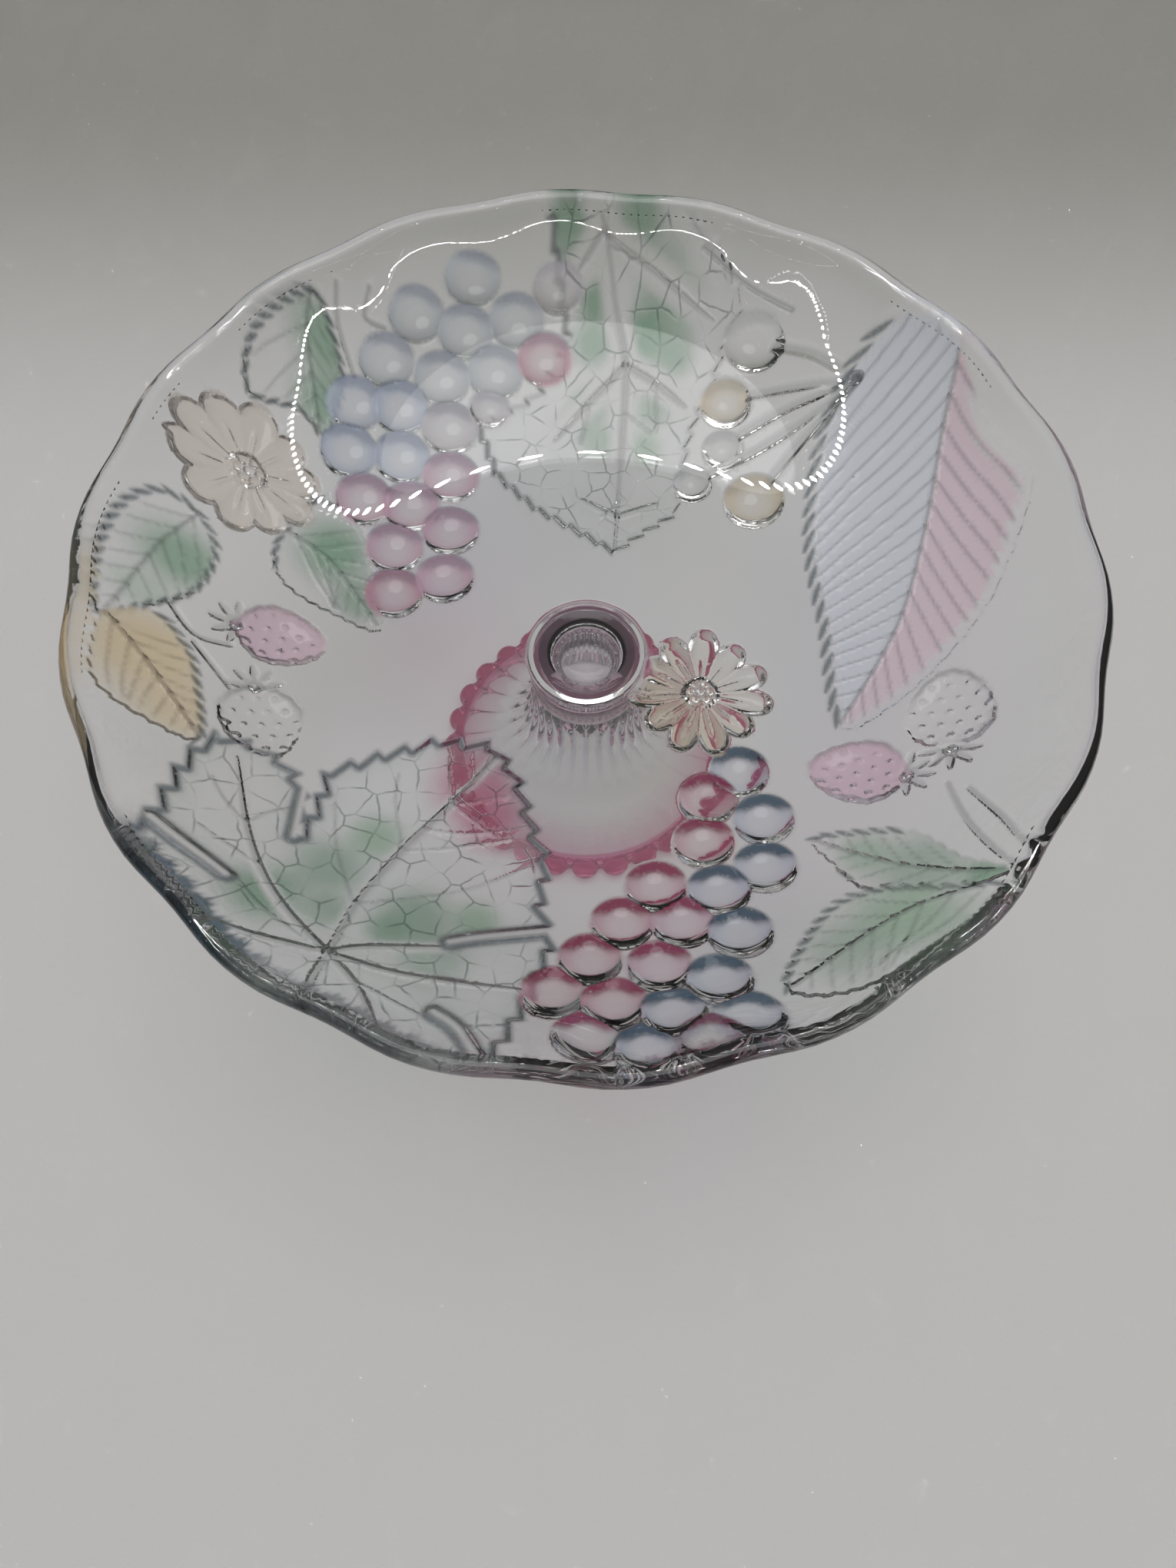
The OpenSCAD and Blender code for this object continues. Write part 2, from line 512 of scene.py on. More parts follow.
# ---------------------------------------------------------------- motifs

@dataclass(frozen=True)
class Dome:
    """A grape, a cherry or a bead: a round swelling on the underside.

    Attributes:
        at: Its centre in plan mm.
        radius: Its half width in mm.
        height: How far it stands out, in mm.
        stain: Its stain.
        strength: How strong the stain is.
        milk: How milky the stain is.
        edge: Dark colour painted as shade on its far, steep side and round its
            foot.
        painted_shade: How strong that painted shade is.
        squash: Its length across as a share of its length along turn.
        turn: Direction of its long axis in degrees.
    """

    at: Point
    radius: float
    height: float = 5.0
    stain: Stain = Stain.CLEAR
    strength: float = 0.8
    milk: float = 0.04
    edge: Stain = Stain.SMOKE
    painted_shade: float = 0.35
    squash: float = 1.0
    turn: float = 0.0

    def mould(self, relief: ReliefMap) -> None:
        """Adds the dome, its stain and its painted shade to the map.

        Args:
            relief: The map that it goes into.
        """
        win = relief.window([self.at], self.radius + 3)
        x = relief.x[win] - self.at[0]
        y = relief.y[win] - self.at[1]
        c, s = unit_step(self.turn)
        along, across = x * c + y * s, -x * s + y * c
        q = np.sqrt(along ** 2 + (across / self.squash) ** 2) / self.radius
        foot = 0.8
        rise = (np.sqrt(np.clip(1 + foot - q * q, foot, None))
                - math.sqrt(foot)) / (math.sqrt(1 + foot) - math.sqrt(foot))
        relief.raise_to(win, self.height * rise)
        body = smoothstep((1.04 - q) / 0.14)
        if self.stain is not Stain.CLEAR:
            gathered = 0.4 + 0.6 * smoothstep((q - 0.2) / 0.7)
            relief.spray(win, self.stain, body * self.strength * gathered,
                         self.milk)
        # painted shade: a dark crescent on the far, steep side and a faint ring
        # round the foot
        side = (relief.y[win] - self.at[1]) / self.radius
        shade_crescent = (smoothstep((q - 0.52) / 0.16) * smoothstep(
            (1.08 - q) / 0.08) * smoothstep((side - 0.2) / 0.35))
        ring = smoothstep((q - 0.82) / 0.16) * smoothstep((1.1 - q) / 0.1)
        relief.darken(win, self.edge, self.painted_shade * shade_crescent
                      + 0.2 * self.painted_shade * ring)


@dataclass(frozen=True)
class Flower:
    """A daisy with rounded petals and a middle of small beads.

    Attributes:
        at: Its centre in plan mm.
        radius: Its radius in mm.
        petals: How many petals it has.
        turn: Direction of the first petal in degrees.
        strength: How strong its cream stain is.
        milk: How milky the stain is.
        side: Direction in which the stain is strongest, or none.
        width: Half the width of a petal as a share of the radius.
        stain: The stain of its petals.
    """

    at: Point
    radius: float
    petals: int = 11
    turn: float = 8.0
    strength: float = 0.85
    milk: float = 0.35
    side: Point = (0.0, 0.0)
    width: float = 0.205
    stain: Stain = Stain.CREAM

    def mould(self, relief: ReliefMap) -> None:
        """Adds the petals, their stain, painted shade at their edges and the
        beads.

        Args:
            relief: The map that it goes into.
        """
        win = relief.window([self.at], self.radius + 3)
        x, y = relief.x[win] - self.at[0], relief.y[win] - self.at[1]
        q = np.hypot(x, y) / self.radius
        angle = np.degrees(np.arctan2(y, x)) - self.turn
        pitch = 360.0 / self.petals
        number = np.round(angle / pitch)
        off = np.radians(angle - number * pitch)
        # each petal has its own length
        length = 1.0 - 0.09 * (0.5 + 0.5 * np.sin(number * 2.3))
        u = q / length
        half = self.width * np.sqrt(np.clip(np.sin(
            np.pi * np.clip(u, 0, 1) ** 1.55), 0, 1)) + 1e-4
        v = q * np.sin(off) / half
        swell = np.sqrt(np.clip(1.04 - v * v, 0, None)) * smoothstep(
            (1.0 - u) / 0.16) * smoothstep((u - 0.16) / 0.12)
        crease = 0.25 * smoothstep(1 - np.abs(v) / 0.18) * smoothstep(
            (0.75 - u) / 0.3)
        relief.raise_to(win, 3.6 * swell * (1 - crease))
        petal = smoothstep((1.12 - np.abs(v)) / 0.2) * smoothstep(
            (1.02 - u) / 0.06) * (u > 0.1)
        lean = np.clip(1 + (x * self.side[0] + y * self.side[1])
                       / self.radius, 0, 1.4) if any(self.side) else 1.0
        relief.spray(win, self.stain, petal * self.strength * lean,
                     self.milk)
        # painted shade along the edges and tips of the petals
        rim = smoothstep(1 - np.abs(np.abs(v) - 0.95) / 0.16) * smoothstep(
            (1.02 - u) / 0.06) * smoothstep((u - 0.2) / 0.1)
        tip = smoothstep(1 - np.abs(u - 0.97) / 0.05) * (np.abs(v) < 1.1)
        relief.darken(win, Stain.GREY_LINE_AND_SHADE, 0.35 * np.maximum(rim, tip))
        for i in range(7):
            a = math.radians(60 * i)
            far = 0.0 if i == 6 else 3.4
            Dome((self.at[0] + far * math.cos(a), self.at[1]
                  + far * math.sin(a)), 1.75, 2.0, Stain.CREAM, 0.7,
                 0.35).mould(relief)


@dataclass(frozen=True)
class Strawberry:
    """A strawberry with raised seeds and a small calyx.

    Attributes:
        at: Its centre in plan mm.
        long: Half its length in mm.
        wide: Half its width in mm.
        turn: Direction from its tip to its calyx, in degrees.
        stain: Its stain.
    """

    at: Point
    long: float
    wide: float
    turn: float
    stain: Stain = Stain.CLEAR

    def mould(self, relief: ReliefMap) -> None:
        """Adds the fruit, its seeds, its calyx and painted shade on their far
        sides.

        Args:
            relief: The map that it goes into.
        """
        win = relief.window([self.at], self.long + 12)
        x, y = relief.x[win] - self.at[0], relief.y[win] - self.at[1]
        c, s = unit_step(self.turn)
        u, v = (x * c + y * s) / self.long, (-x * s + y * c) / self.wide
        narrow = 1.0 + 0.22 * np.clip(-u, -0.4, 1)
        q = np.sqrt(u * u + (v * narrow) ** 2)
        q = q * (1 + 0.014 * np.sin(16 * np.arctan2(v, u)))
        rise = np.sqrt(np.clip(1.05 - q * q, 0.05, None)) - math.sqrt(0.05)
        relief.raise_to(win, 3.2 * rise / 0.8)
        if self.stain is not Stain.CLEAR:
            relief.spray(win, self.stain, smoothstep((1.05 - q) / 0.12)
                         * 0.9, 0.25)
        # painted shade: a dark outline, strongest on the far side
        edge = smoothstep(1.2 - np.abs(q - 0.96) / 0.08)
        relief.darken(win, Stain.GREY_LINE_AND_SHADE, 0.75 * edge * smoothstep(
            (y / self.wide + 0.1) / 1.0))
        pitch = 5.0
        rows = int(self.long / pitch) + 1
        for i in range(-rows, rows + 1):
            for j in range(-rows, rows + 1):
                a = i * pitch
                b = (j + 0.5 * (i % 2)) * pitch * 1.05
                if (a / self.long) ** 2 + (b / self.wide) ** 2 > 0.74:
                    continue
                seed = (self.at[0] + a * c - b * s, self.at[1] + a * s + b * c)
                sw = relief.window([seed], 2)
                d = np.hypot(relief.x[sw] - seed[0], relief.y[sw] - seed[1])
                relief.carve(sw, 0.7 * smoothstep(1.3 - d / 1.0))
                # painted shade round each seed's pit, darker on its far side
                low = smoothstep(1 - np.abs(d - 0.9) / 0.45)
                up = smoothstep((relief.y[sw] - seed[1]) / 0.8 + 0.4)
                relief.darken(sw, Stain.GREY_LINE_AND_SHADE, 0.45 * low * up)
        top = (self.at[0] + self.long * 0.95 * c,
               self.at[1] + self.long * 0.95 * s)
        for k in range(5):
            a = math.radians(self.turn - 80 + 40 * k)
            tip = (top[0] + 8.5 * math.cos(a), top[1] + 8.5 * math.sin(a))
            relief.stroke([top, tip], 0.95, 0.9, Stain.TEAL_LINE_AND_SHADE, 0.45,
                          ends=(1.0, 0.3))


class Edge(Enum):
    """Which way the painted shade on a leaf's serrated edge faces."""

    ALL = (0.0, 0.0)
    LEFT = (-1.0, 0.0)
    RIGHT = (1.0, 0.0)
    LEFT_FAR = (-0.7, 0.7)
    LEFT_NEAR = (-0.7, -0.7)

    def weight(self, inside: np.ndarray) -> np.ndarray:
        """How dark the painted shade on the edge is at each place of a window.

        Args:
            inside: Distance inside the outline, on the window's grid.

        Returns:
            Weights from 0 to 1.
        """
        if self is Edge.ALL:
            return np.ones_like(inside)
        gy, gx = np.gradient(inside)
        facing = -(gx * self.value[0] + gy * self.value[1]) / (
            np.hypot(gx, gy) + 1e-6)
        return 0.06 + 0.94 * smoothstep(facing * 1.6 - 0.2)


@dataclass(frozen=True)
class Leaf:
    """A toothed leaf with a midrib and side veins.

    Attributes:
        outline: Its plain outline in plan mm.
        midrib: Its midrib from base to tip.
        teeth: Length and depth of its teeth in mm.
        veins: Number of side veins on one side.
        lead: Number of further veins that start beyond its base.
        angles: Angle of the veins on the left and right of the midrib.
        dark: Which way the darkest painted shade on its edge faces.
        ink: Colour of its veins.
        shade_and_cut_colour: Colour of the painted edge shade and of its cuts.
        patches: Centre, radius, stain and strength of each sprayed patch.
        halves: Stain of the left and of the right half, if filled.
        milk: How milky its stain is.
        raised: Height of its plate in mm.
        slash: Spacing and length of the slanted cuts in its dark edge.
        stroke: Half width of those cuts.
        margin: Width of the edge that stays free of stain.
        reach: Length of a side vein.
        outline_shade: Strength of the painted shade along the outline.
    """

    outline: tuple[Point, ...]
    midrib: tuple[Point, ...]
    teeth: Point = (4.6, 0.9)
    veins: int = 7
    lead: int = 0
    angles: Point = (42.0, 42.0)
    dark: Edge = Edge.ALL
    ink: Stain = Stain.GREY_LINE_AND_SHADE
    shade_and_cut_colour: Stain = Stain.TEAL_LINE_AND_SHADE
    patches: tuple[tuple[Point, float, Stain, float], ...] = ()
    halves: tuple[Stain, Stain] | None = None
    milk: float = 0.15
    raised: float = 0.9
    slash: Point = (4.9, 7.0)
    stroke: float = 1.0
    margin: float = 0.0
    reach: float = 34.0
    outline_shade: float = 0.3

    def mould(self, relief: ReliefMap) -> None:
        """Adds the leaf's plate, painted edge shade, edge cuts, veins and
        stain.

        Args:
            relief: The map that it goes into.
        """
        smooth = spline(self.outline, 6, closed=True)
        edge = toothed(smooth, *self.teeth)
        win = relief.window(self.outline, 5)
        x, y = relief.x[win], relief.y[win]
        d = inside_distance(x, y, edge)
        relief.raise_to(win, self.raised * smoothstep(d / 1.3 + 0.2))
        inside = smoothstep(d / 0.8)
        rib = spline(self.midrib, 6)
        near, side = line_distance(x, y, rib)
        if self.halves:
            for stain, sign in zip(self.halves, (1, -1)):
                ragged = 1.2 * np.sin(x * 1.9 + y * 0.8) + d - self.margin
                relief.spray(win, stain, smoothstep(ragged / 3.5 + 0.2)
                             * smoothstep(side * sign * near / 0.6) * 0.95,
                             self.milk)
        for at, radius, stain, strength in self.patches:
            q = np.hypot(x - at[0], y - at[1]) / radius
            relief.spray(win, stain, strength * smoothstep(1.25 - q)
                         * smoothstep(d / 1.5 + 0.3), self.milk)
        self._edge(relief, win, d)
        self._veins(relief, win, rib, inside)
        self._slashes(relief, smooth)

    def _slashes(self, relief: ReliefMap, outline: list[Point]) -> None:
        """Cuts slanted strokes into the edge that faces self.dark.

        Args:
            relief: The map that they go into.
            outline: The leaf's smooth outline.
        """
        path = Path.closed(outline)
        side = path.side()
        tip = np.array(self.midrib[-1]) - np.array(self.midrib[0])
        pitch, length = self.slash
        for s in np.arange(pitch / 2, path.length, pitch):
            at, d = path.at(s)
            inward = np.array([-d[1], d[0]]) * side
            if self.dark is not Edge.ALL and -np.dot(
                    inward, self.dark.value) < 0.3:
                continue
            toward = d if np.dot(d, tip) > 0 else -d
            start = at - length * (0.45 * toward - 0.3 * inward)
            end = at + length * (0.35 * toward - 0.06 * inward)
            relief.stroke([tuple(end), tuple(start)], self.stroke, -0.3,
                          self.shade_and_cut_colour, 0.95, ends=(0.35, 0.15))

    def _edge(self, relief: ReliefMap, win: Window,
              d: np.ndarray) -> None:
        """Paints shade along the serrated edge, darkest where it faces
        self.dark.

        Args:
            relief: The map that it goes into.
            win: The part of the map around the leaf.
            d: Distance inside the toothed outline, on that part.
        """
        band = smoothstep(1.25 - np.abs(d - 0.6) / 0.95)
        relief.darken(win, self.shade_and_cut_colour,
                      self.outline_shade * band * self.dark.weight(d))

    def _veins(self, relief: ReliefMap, win: Window,
               rib: list[Point], inside: np.ndarray) -> None:
        """Draws the midrib and the side veins.

        Args:
            relief: The map that they go into.
            win: The part of the map around the leaf.
            rib: Points along the midrib.
            inside: Mask of the leaf, on that part.
        """
        relief.stroke(rib, 0.62, -0.5, self.ink, 0.75, inside, win)
        path = Path(np.array(rib))
        plain = spline(self.outline, 3, closed=True)
        for k in range(-self.lead, self.veins):
            at, d = path.at(path.length * (k + 0.45) / (self.veins + 0.3))
            heading = math.atan2(d[1], d[0])
            for sign, angle in zip((1, -1), self.angles):
                a = heading + sign * math.radians(angle)
                bend = heading + sign * math.radians(angle * 0.85)
                half = self.reach * 0.5
                mid = at + half * np.array([math.cos(a), math.sin(a)])
                end = mid + half * np.array([math.cos(bend),
                                             math.sin(bend)])
                line = [tuple(at), tuple(mid), tuple(end)]
                sub = relief.window(line, 3)
                ds = inside_distance(relief.x[sub], relief.y[sub], plain)
                _, own = line_distance(relief.x[sub], relief.y[sub], rib)
                mask = smoothstep((ds - 1.6) / 2.0) * (own * sign > 0)
                relief.stroke(line, 0.42, -0.22, self.ink, 0.6, mask, sub)


@dataclass(frozen=True)
class VineLeaf:
    """A lobed vine leaf with main veins and a net of fine veins.

    Attributes:
        outline: Its outline in plan mm.
        veins: Its main veins.
        branches: Its thinner veins.
        notches: Tear-shaped notches, each from mouth to end.
        patches: Centre, radius, stain and strength of each sprayed patch.
        clear_band: Width in mm kept clear of stain along the main veins.
        teeth: Length and depth of its teeth in mm.
        ink: Strength of the painted shade along its edge.
        line: Strength of its dark veins.
        net: Strength of the net of fine veins.
        frost: How frosted its plate is.
        dark: Which way the darkest painted shade on its edge faces.
    """

    outline: tuple[Point, ...]
    veins: tuple[tuple[Point, ...], ...]
    branches: tuple[tuple[Point, ...], ...] = ()
    notches: tuple[tuple[Point, ...], ...] = ()
    patches: tuple[tuple[Point, float, Stain, float], ...] = ()
    clear_band: float = 2.4
    teeth: Point = (9.5, 3.4)
    ink: float = 0.95
    line: float = 0.6
    net: float = 1.0
    frost: float = 1.0
    dark: Edge = Edge.ALL

    def mould(self, relief: ReliefMap) -> None:
        """Adds the leaf's plate, notches, stain, painted edge shade and veins.

        Args:
            relief: The map that it goes into.
        """
        win = relief.window(self.outline, 6)
        x, y = relief.x[win], relief.y[win]
        d = inside_distance(x, y, toothed(self.outline, *self.teeth, 0.85))
        for notch in self.notches:
            away, _ = line_distance(x, y, spline(notch, 5))
            d = np.minimum(d, away - 1.5)
        relief.raise_to(win, 1.0 * smoothstep(d / 1.4 + 0.2))
        inside = smoothstep(d / 1.2)
        keep = np.ones_like(d)
        for vein in self.veins:
            away, _ = line_distance(x, y, spline(vein, 5))
            keep *= smoothstep((away - self.clear_band * 0.45)
                               / (self.clear_band * 0.9))
        for at, radius, stain, strength in self.patches:
            q = np.hypot(x - at[0], y - at[1]) / radius
            relief.spray(win, stain, strength * smoothstep(1.3 - q) * keep
                         * inside, 0.15)
        # painted shade: the frosted grey deepens within about 9 mm of the edge
        shaded = 0.45 + 0.55 * smoothstep(1 - d / 9)
        relief.darken(win, Stain.FROST, self.frost * inside * shaded)
        relief.milk[win] = np.maximum(relief.milk[win],
                                      0.22 * self.frost * inside * keep)
        # painted shade along the toothed edge, darkest where it faces self.dark
        band = smoothstep(1.35 - np.abs(d - 0.5) / 1.6)
        weight = self.dark.weight(d)
        relief.darken(win, Stain.TEAL_LINE_AND_SHADE, self.ink * band * weight)
        for vein in self.veins:
            relief.stroke(spline(vein, 5), 0.8, -0.8, Stain.GREY_LINE_AND_SHADE,
                          self.line, inside, win, ends=(1.0, 0.35))
        for branch in self.branches:
            relief.stroke(spline(branch, 4), 0.4, -0.35, Stain.GREY_LINE_AND_SHADE,
                          self.line, inside, win)
        relief.cells[win] = np.maximum(relief.cells[win],
                                       self.net * smoothstep((d - 1) / 3))


# --------------------------------------------------------- the decoration

def on_the_wall(at: Point) -> dict[str, float]:
    """Squash and turn that keep a dome round on the sloping wall.

    Args:
        at: The dome's centre in plan mm.

    Returns:
        Values for the dome's fields of those names.
    """
    slope = (math.hypot(*at) - FLOOR_R) / WALL_ARC
    return {"squash": math.sqrt(1 - min(0.85, max(0.0, slope)) ** 2),
            "turn": math.degrees(math.atan2(at[1], at[0])) + 90.0}


def fruit_motifs() -> list[Any]:
    """The grapes, cherries, strawberries and flowers of the underside.

    Returns:
        Motifs in the order they are moulded.
    """
    blue, pink, rose = Stain.BLUE, Stain.ROSE, Stain.DEEP_ROSE
    grey, mauve = Stain.GREY_BLUE, Stain.MAUVE
    far = (((-44, 142), grey), ((-65, 128), grey), ((-47, 127), grey),
           ((-28, 133), grey), ((-76, 112), grey), ((-56, 111), grey),
           ((-36, 116), grey), ((-17, 122), rose), ((-87, 95), blue),
           ((-71, 98), blue), ((-53, 94), mauve), ((-89, 78), blue),
           ((-70, 80), blue), ((-52, 75), pink), ((-83, 61), pink),
           ((-66, 61), pink), ((-51, 52), pink), ((-71, 43), pink),
           ((-70, 24), rose), ((-52, 31), pink))
    near = (((52, -48), blue), ((41, -58), rose), ((59, -67), blue),
            ((39, -75), rose), ((58, -86), blue), ((23, -92), rose),
            ((43, -94), blue), ((12, -106), rose), ((31, -106), pink),
            ((48, -111), blue), ((2, -120), rose), ((23, -123), pink),
            ((40, -129), blue), ((-9, -133), rose), ((9, -137), rose),
            ((26, -141), blue), ((46, -144), blue), ((1, -150), mauve),
            ((18, -154), blue), ((35, -152), Stain.PLUM_INK))
    motifs: list[Any] = []
    for at, stain in far:
        motifs.append(Dome(at, 10.9, 3.2, stain, 0.85, 0.0, painted_shade=0.75,
                           **on_the_wall(at)))
    for at, stain in near:
        # colour of the painted shade on each grape's far side
        edge = Stain.NAVY if stain is blue else Stain.WINE
        motifs.append(Dome(at, 10.2, 3.4, stain, 0.7, 0.0, edge=edge,
                           painted_shade=1.0))
    for at, radius in (((-12, 143), 10.2), ((-38, 103), 8.0)):
        motifs.append(Dome(at, radius, 3.6, mauve, 0.8, **on_the_wall(at)))
    for at, radius, stain in (((62, 122), 11.8, Stain.CLEAR),
                              ((52, 104), 10.0, Stain.AMBER),
                              ((51, 87), 8.0, Stain.CLEAR),
                              ((39, 74), 8.0, Stain.CLEAR),
                              ((62, 65), 11.8, Stain.AMBER)):
        motifs.append(Dome(at, radius, 4.4, stain, 0.9, 0.1,
                           edge=Stain.GREY_LINE_AND_SHADE, painted_shade=0.4,
                           **on_the_wall(at)))
    motifs += [Strawberry((-106, -1), 14.5, 11.5, 175, Stain.PINK),
               Strawberry((-108, -37), 15.0, 12.5, 105),
               Strawberry((120, -33), 16.0, 12.5, 262),
               Strawberry((90, -51), 15.5, 12.5, 345, Stain.PINK),
               Flower((-121, 59), 24.5, petals=10, width=0.27,
                      milk=0.2),
               Flower((40, -16), 26.5, turn=20, strength=0.55, milk=0.05,
                      side=(-0.8, -0.6), stain=Stain.AMBER)]
    return motifs


def leaf_motifs() -> list[Any]:
    """The simple leaves round the rim.

    Returns:
        Motifs in the order they are moulded.
    """
    green, deep = Stain.GREEN, Stain.DEEP_GREEN
    return [
        Leaf(((-99, 123), (-92, 110), (-91, 98), (-97, 80), (-106, 86),
              (-121, 84), (-122, 96), (-114, 110)),
             ((-100, 122), (-102, 108), (-99, 82)), veins=6,
             patches=(((-95, 111), 15, deep, 0.9),
                      ((-97, 92), 13, deep, 0.9))),
        Leaf(((-135, 38), (-146, 38), (-154, 24), (-157, -4), (-154, -17),
              (-144, -6), (-132, 8), (-128, 26)),
             ((-134, 37), (-143, 20), (-153, -14)), veins=7,
             patches=(((-137, 18), 15, deep, 0.9),
                      ((-145, 0), 10, green, 0.6))),
        Leaf(((-112, 35), (-104, 52), (-97, 58), (-84, 50), (-79, 35),
              (-73, 8), (-90, 12), (-108, 21)),
             ((-108, 42), (-93, 34), (-75, 10)), veins=7,
             patches=(((-92, 38), 17, deep, 0.95),
                      ((-82, 20), 12, deep, 0.8)), dark=Edge.LEFT_FAR),
        Leaf(((-153, -14), (-141, -6), (-131, -16), (-127, -28), (-123, -50),
              (-136, -49), (-149, -42), (-153, -28)),
             ((-153, -15), (-141, -26), (-124, -49)), veins=7,
             patches=(((-141, -22), 24, Stain.AMBER, 1.0),
                      ((-130, -40), 16, Stain.AMBER, 0.9)),
             ink=Stain.BROWN_INK, milk=0.45, dark=Edge.RIGHT),
        Leaf(((121, -103), (113, -93), (104, -79), (90, -75), (73, -76),
              (79, -88), (84, -97), (99, -105)),
             ((120, -102), (99, -92), (75, -77)), veins=7,
             patches=(((102, -93), 17, deep, 0.7), ((88, -84), 10, green, 0.8),
                      ((116, -102), 8, deep, 0.9)), dark=Edge.LEFT_FAR),
        Leaf(((118, -107), (102, -101), (87, -99), (73, -106), (58, -130),
              (62, -137), (80, -137), (98, -129), (110, -117)),
             ((118, -105), (96, -109), (60, -133)), veins=8,
             patches=(((94, -113), 20, green, 0.95),
                      ((76, -122), 14, deep, 0.6)), dark=Edge.LEFT_FAR),
        # the large two-tone leaf, pearly blue on its left, pink on its right
        Leaf(((133, 94), (115, 115), (97, 108), (86, 88), (81, 62), (80, 38),
              (83, 10), (86, -32), (104, -27), (124, -10), (138, 8),
              (147, 32), (147, 48), (138, 68)),
             ((128, 94), (126, 78), (120, 42), (109, 6), (87, -31)),
             teeth=(7.4, 0.6), veins=16, lead=6, angles=(32, 48),
             dark=Edge.LEFT, ink=Stain.GREY_LINE_AND_SHADE,
             halves=(Stain.PEARL_PINK, Stain.PEARL_BLUE), milk=0.6,
             raised=0.6, slash=(7.4, 11.5), stroke=1.35, margin=2.6,
             reach=72.0, outline_shade=0.12),
    ]


def vine_motifs() -> list[Any]:
    """The two lobed vine leaves.

    Returns:
        Motifs in the order they are moulded.
    """
    green, deep = Stain.GREEN, Stain.DEEP_GREEN
    near = VineLeaf(
        outline=((-70, -158), (-92, -142), (-113, -124), (-132, -98),
                 (-127, -84), (-127, -66), (-122, -47), (-112, -45), (-97, -52),
                 (-91, -66), (-91, -82), (-87, -66), (-86, -52), (-69, -43),
                 (-50, -36), (-32, -38), (-23, -49), (-17, -70), (-12, -82),
                 (-14, -102), (-9, -113), (-15, -132), (-25, -164),
                 (-48, -166)),
        veins=(((-74, -124), (-88, -110), (-98, -96), (-106, -78),
                (-113, -53)),
               ((-74, -124), (-70, -103), (-59, -80), (-45, -61),
                (-30, -42)),
               ((-74, -124), (-65, -120), (-42, -117)),
               ((-74, -124), (-54, -129), (-18, -132)),
               ((-74, -124), (-65, -135), (-53, -156)),
               ((-74, -124), (-75, -135), (-74, -146)),
               ((-74, -124), (-86, -122), (-107, -120))),
        branches=(((-99, -94), (-109, -88), (-117, -83)),
                  ((-106, -78), (-113, -71), (-118, -63)),
                  ((-80, -120), (-96, -109), (-104, -100)),
                  ((-106, -78), (-100, -72), (-95, -69)),
                  ((-71, -103), (-79, -83), (-82, -64)),
                  ((-59, -80), (-63, -62), (-63, -50)),
                  ((-70, -103), (-55, -99), (-38, -94), (-18, -84)),
                  ((-58, -80), (-44, -78), (-23, -73)),
                  ((-53, -71), (-39, -72), (-22, -69)),
                  ((-44, -61), (-47, -43)), ((-44, -61), (-29, -73)),
                  ((-44, -61), (-27, -57)), ((-37, -50), (-38, -41)),
                  ((-64, -135), (-37, -146), (-12, -145))),
        notches=(((-91, -50), (-92, -64), (-92, -80)),
                 ((-127, -85), (-115, -94), (-106, -101)),
                 ((-6, -108), (-30, -112), (-41, -115)),
                 ((-42, -142), (-34, -148), (-26, -162))),
        patches=(((-95, -104), 13, deep, 0.9), ((-80, -90), 13, deep, 0.75),
                 ((-78, -107), 8, deep, 0.7), ((-52, -107), 14, deep, 0.8),
                 ((-45, -123), 12, deep, 0.55), ((-34, -106), 9, green, 0.9),
                 ((-68, -76), 10, green, 0.9), ((-60, -112), 7, deep, 0.7),
                 ((-37, -53), 17, Stain.DEEP_ROSE, 0.9),
                 ((-31, -66), 14, Stain.DEEP_ROSE, 0.8)))
    far = VineLeaf(
        outline=((0, 166), (-16, 163), (-12, 146), (-9, 130), (-20, 110),
                 (-43, 97), (-35, 77), (-19, 62), (-5, 53), (10, 43),
                 (22, 53), (33, 61), (36, 74), (37, 86), (40, 98), (47, 110),
                 (51, 122), (58, 134), (50, 148), (36, 160), (20, 165)),
        veins=(((0, 166), (6, 157), (10, 138), (14, 121), (13, 94),
                (10, 45)),
               ((5, 157), (24, 147), (47, 131)), ((4, 156), (-4, 148)),
               ((14, 121), (26, 114), (37, 105)),
               ((14, 121), (0, 108), (-13, 93)),
               ((11, 60), (-3, 68)), ((11, 60), (26, 66))),
        branches=(((0, 107), (-3, 92)), ((26, 114), (26, 96)),
                  ((14, 104), (24, 96)), ((13, 68), (5, 60)),
                  ((36, 158), (44, 150), (59, 144), (72, 136))),
        patches=(((-8, 158), 10, deep, 0.9), ((18, 159), 11, deep, 0.85),
                 ((2, 140), 8, deep, 0.9), ((1, 128), 9, deep, 0.9),
                 ((27, 145), 11, deep, 0.75), ((36, 137), 9, green, 0.9),
                 ((22, 130), 12, deep, 0.95), ((33, 123), 9, deep, 0.85),
                 ((0, 106), 9, deep, 0.8), ((-7, 99), 7, deep, 0.7),
                 ((25, 106), 9, deep, 0.7), ((4, 93), 9, deep, 0.7),
                 ((21, 90), 8, green, 0.9)),
        clear_band=5.0, teeth=(7.0, 2.0), ink=0.85, line=0.5, frost=0.45,
        dark=Edge.LEFT_NEAR)
    return [near, far]


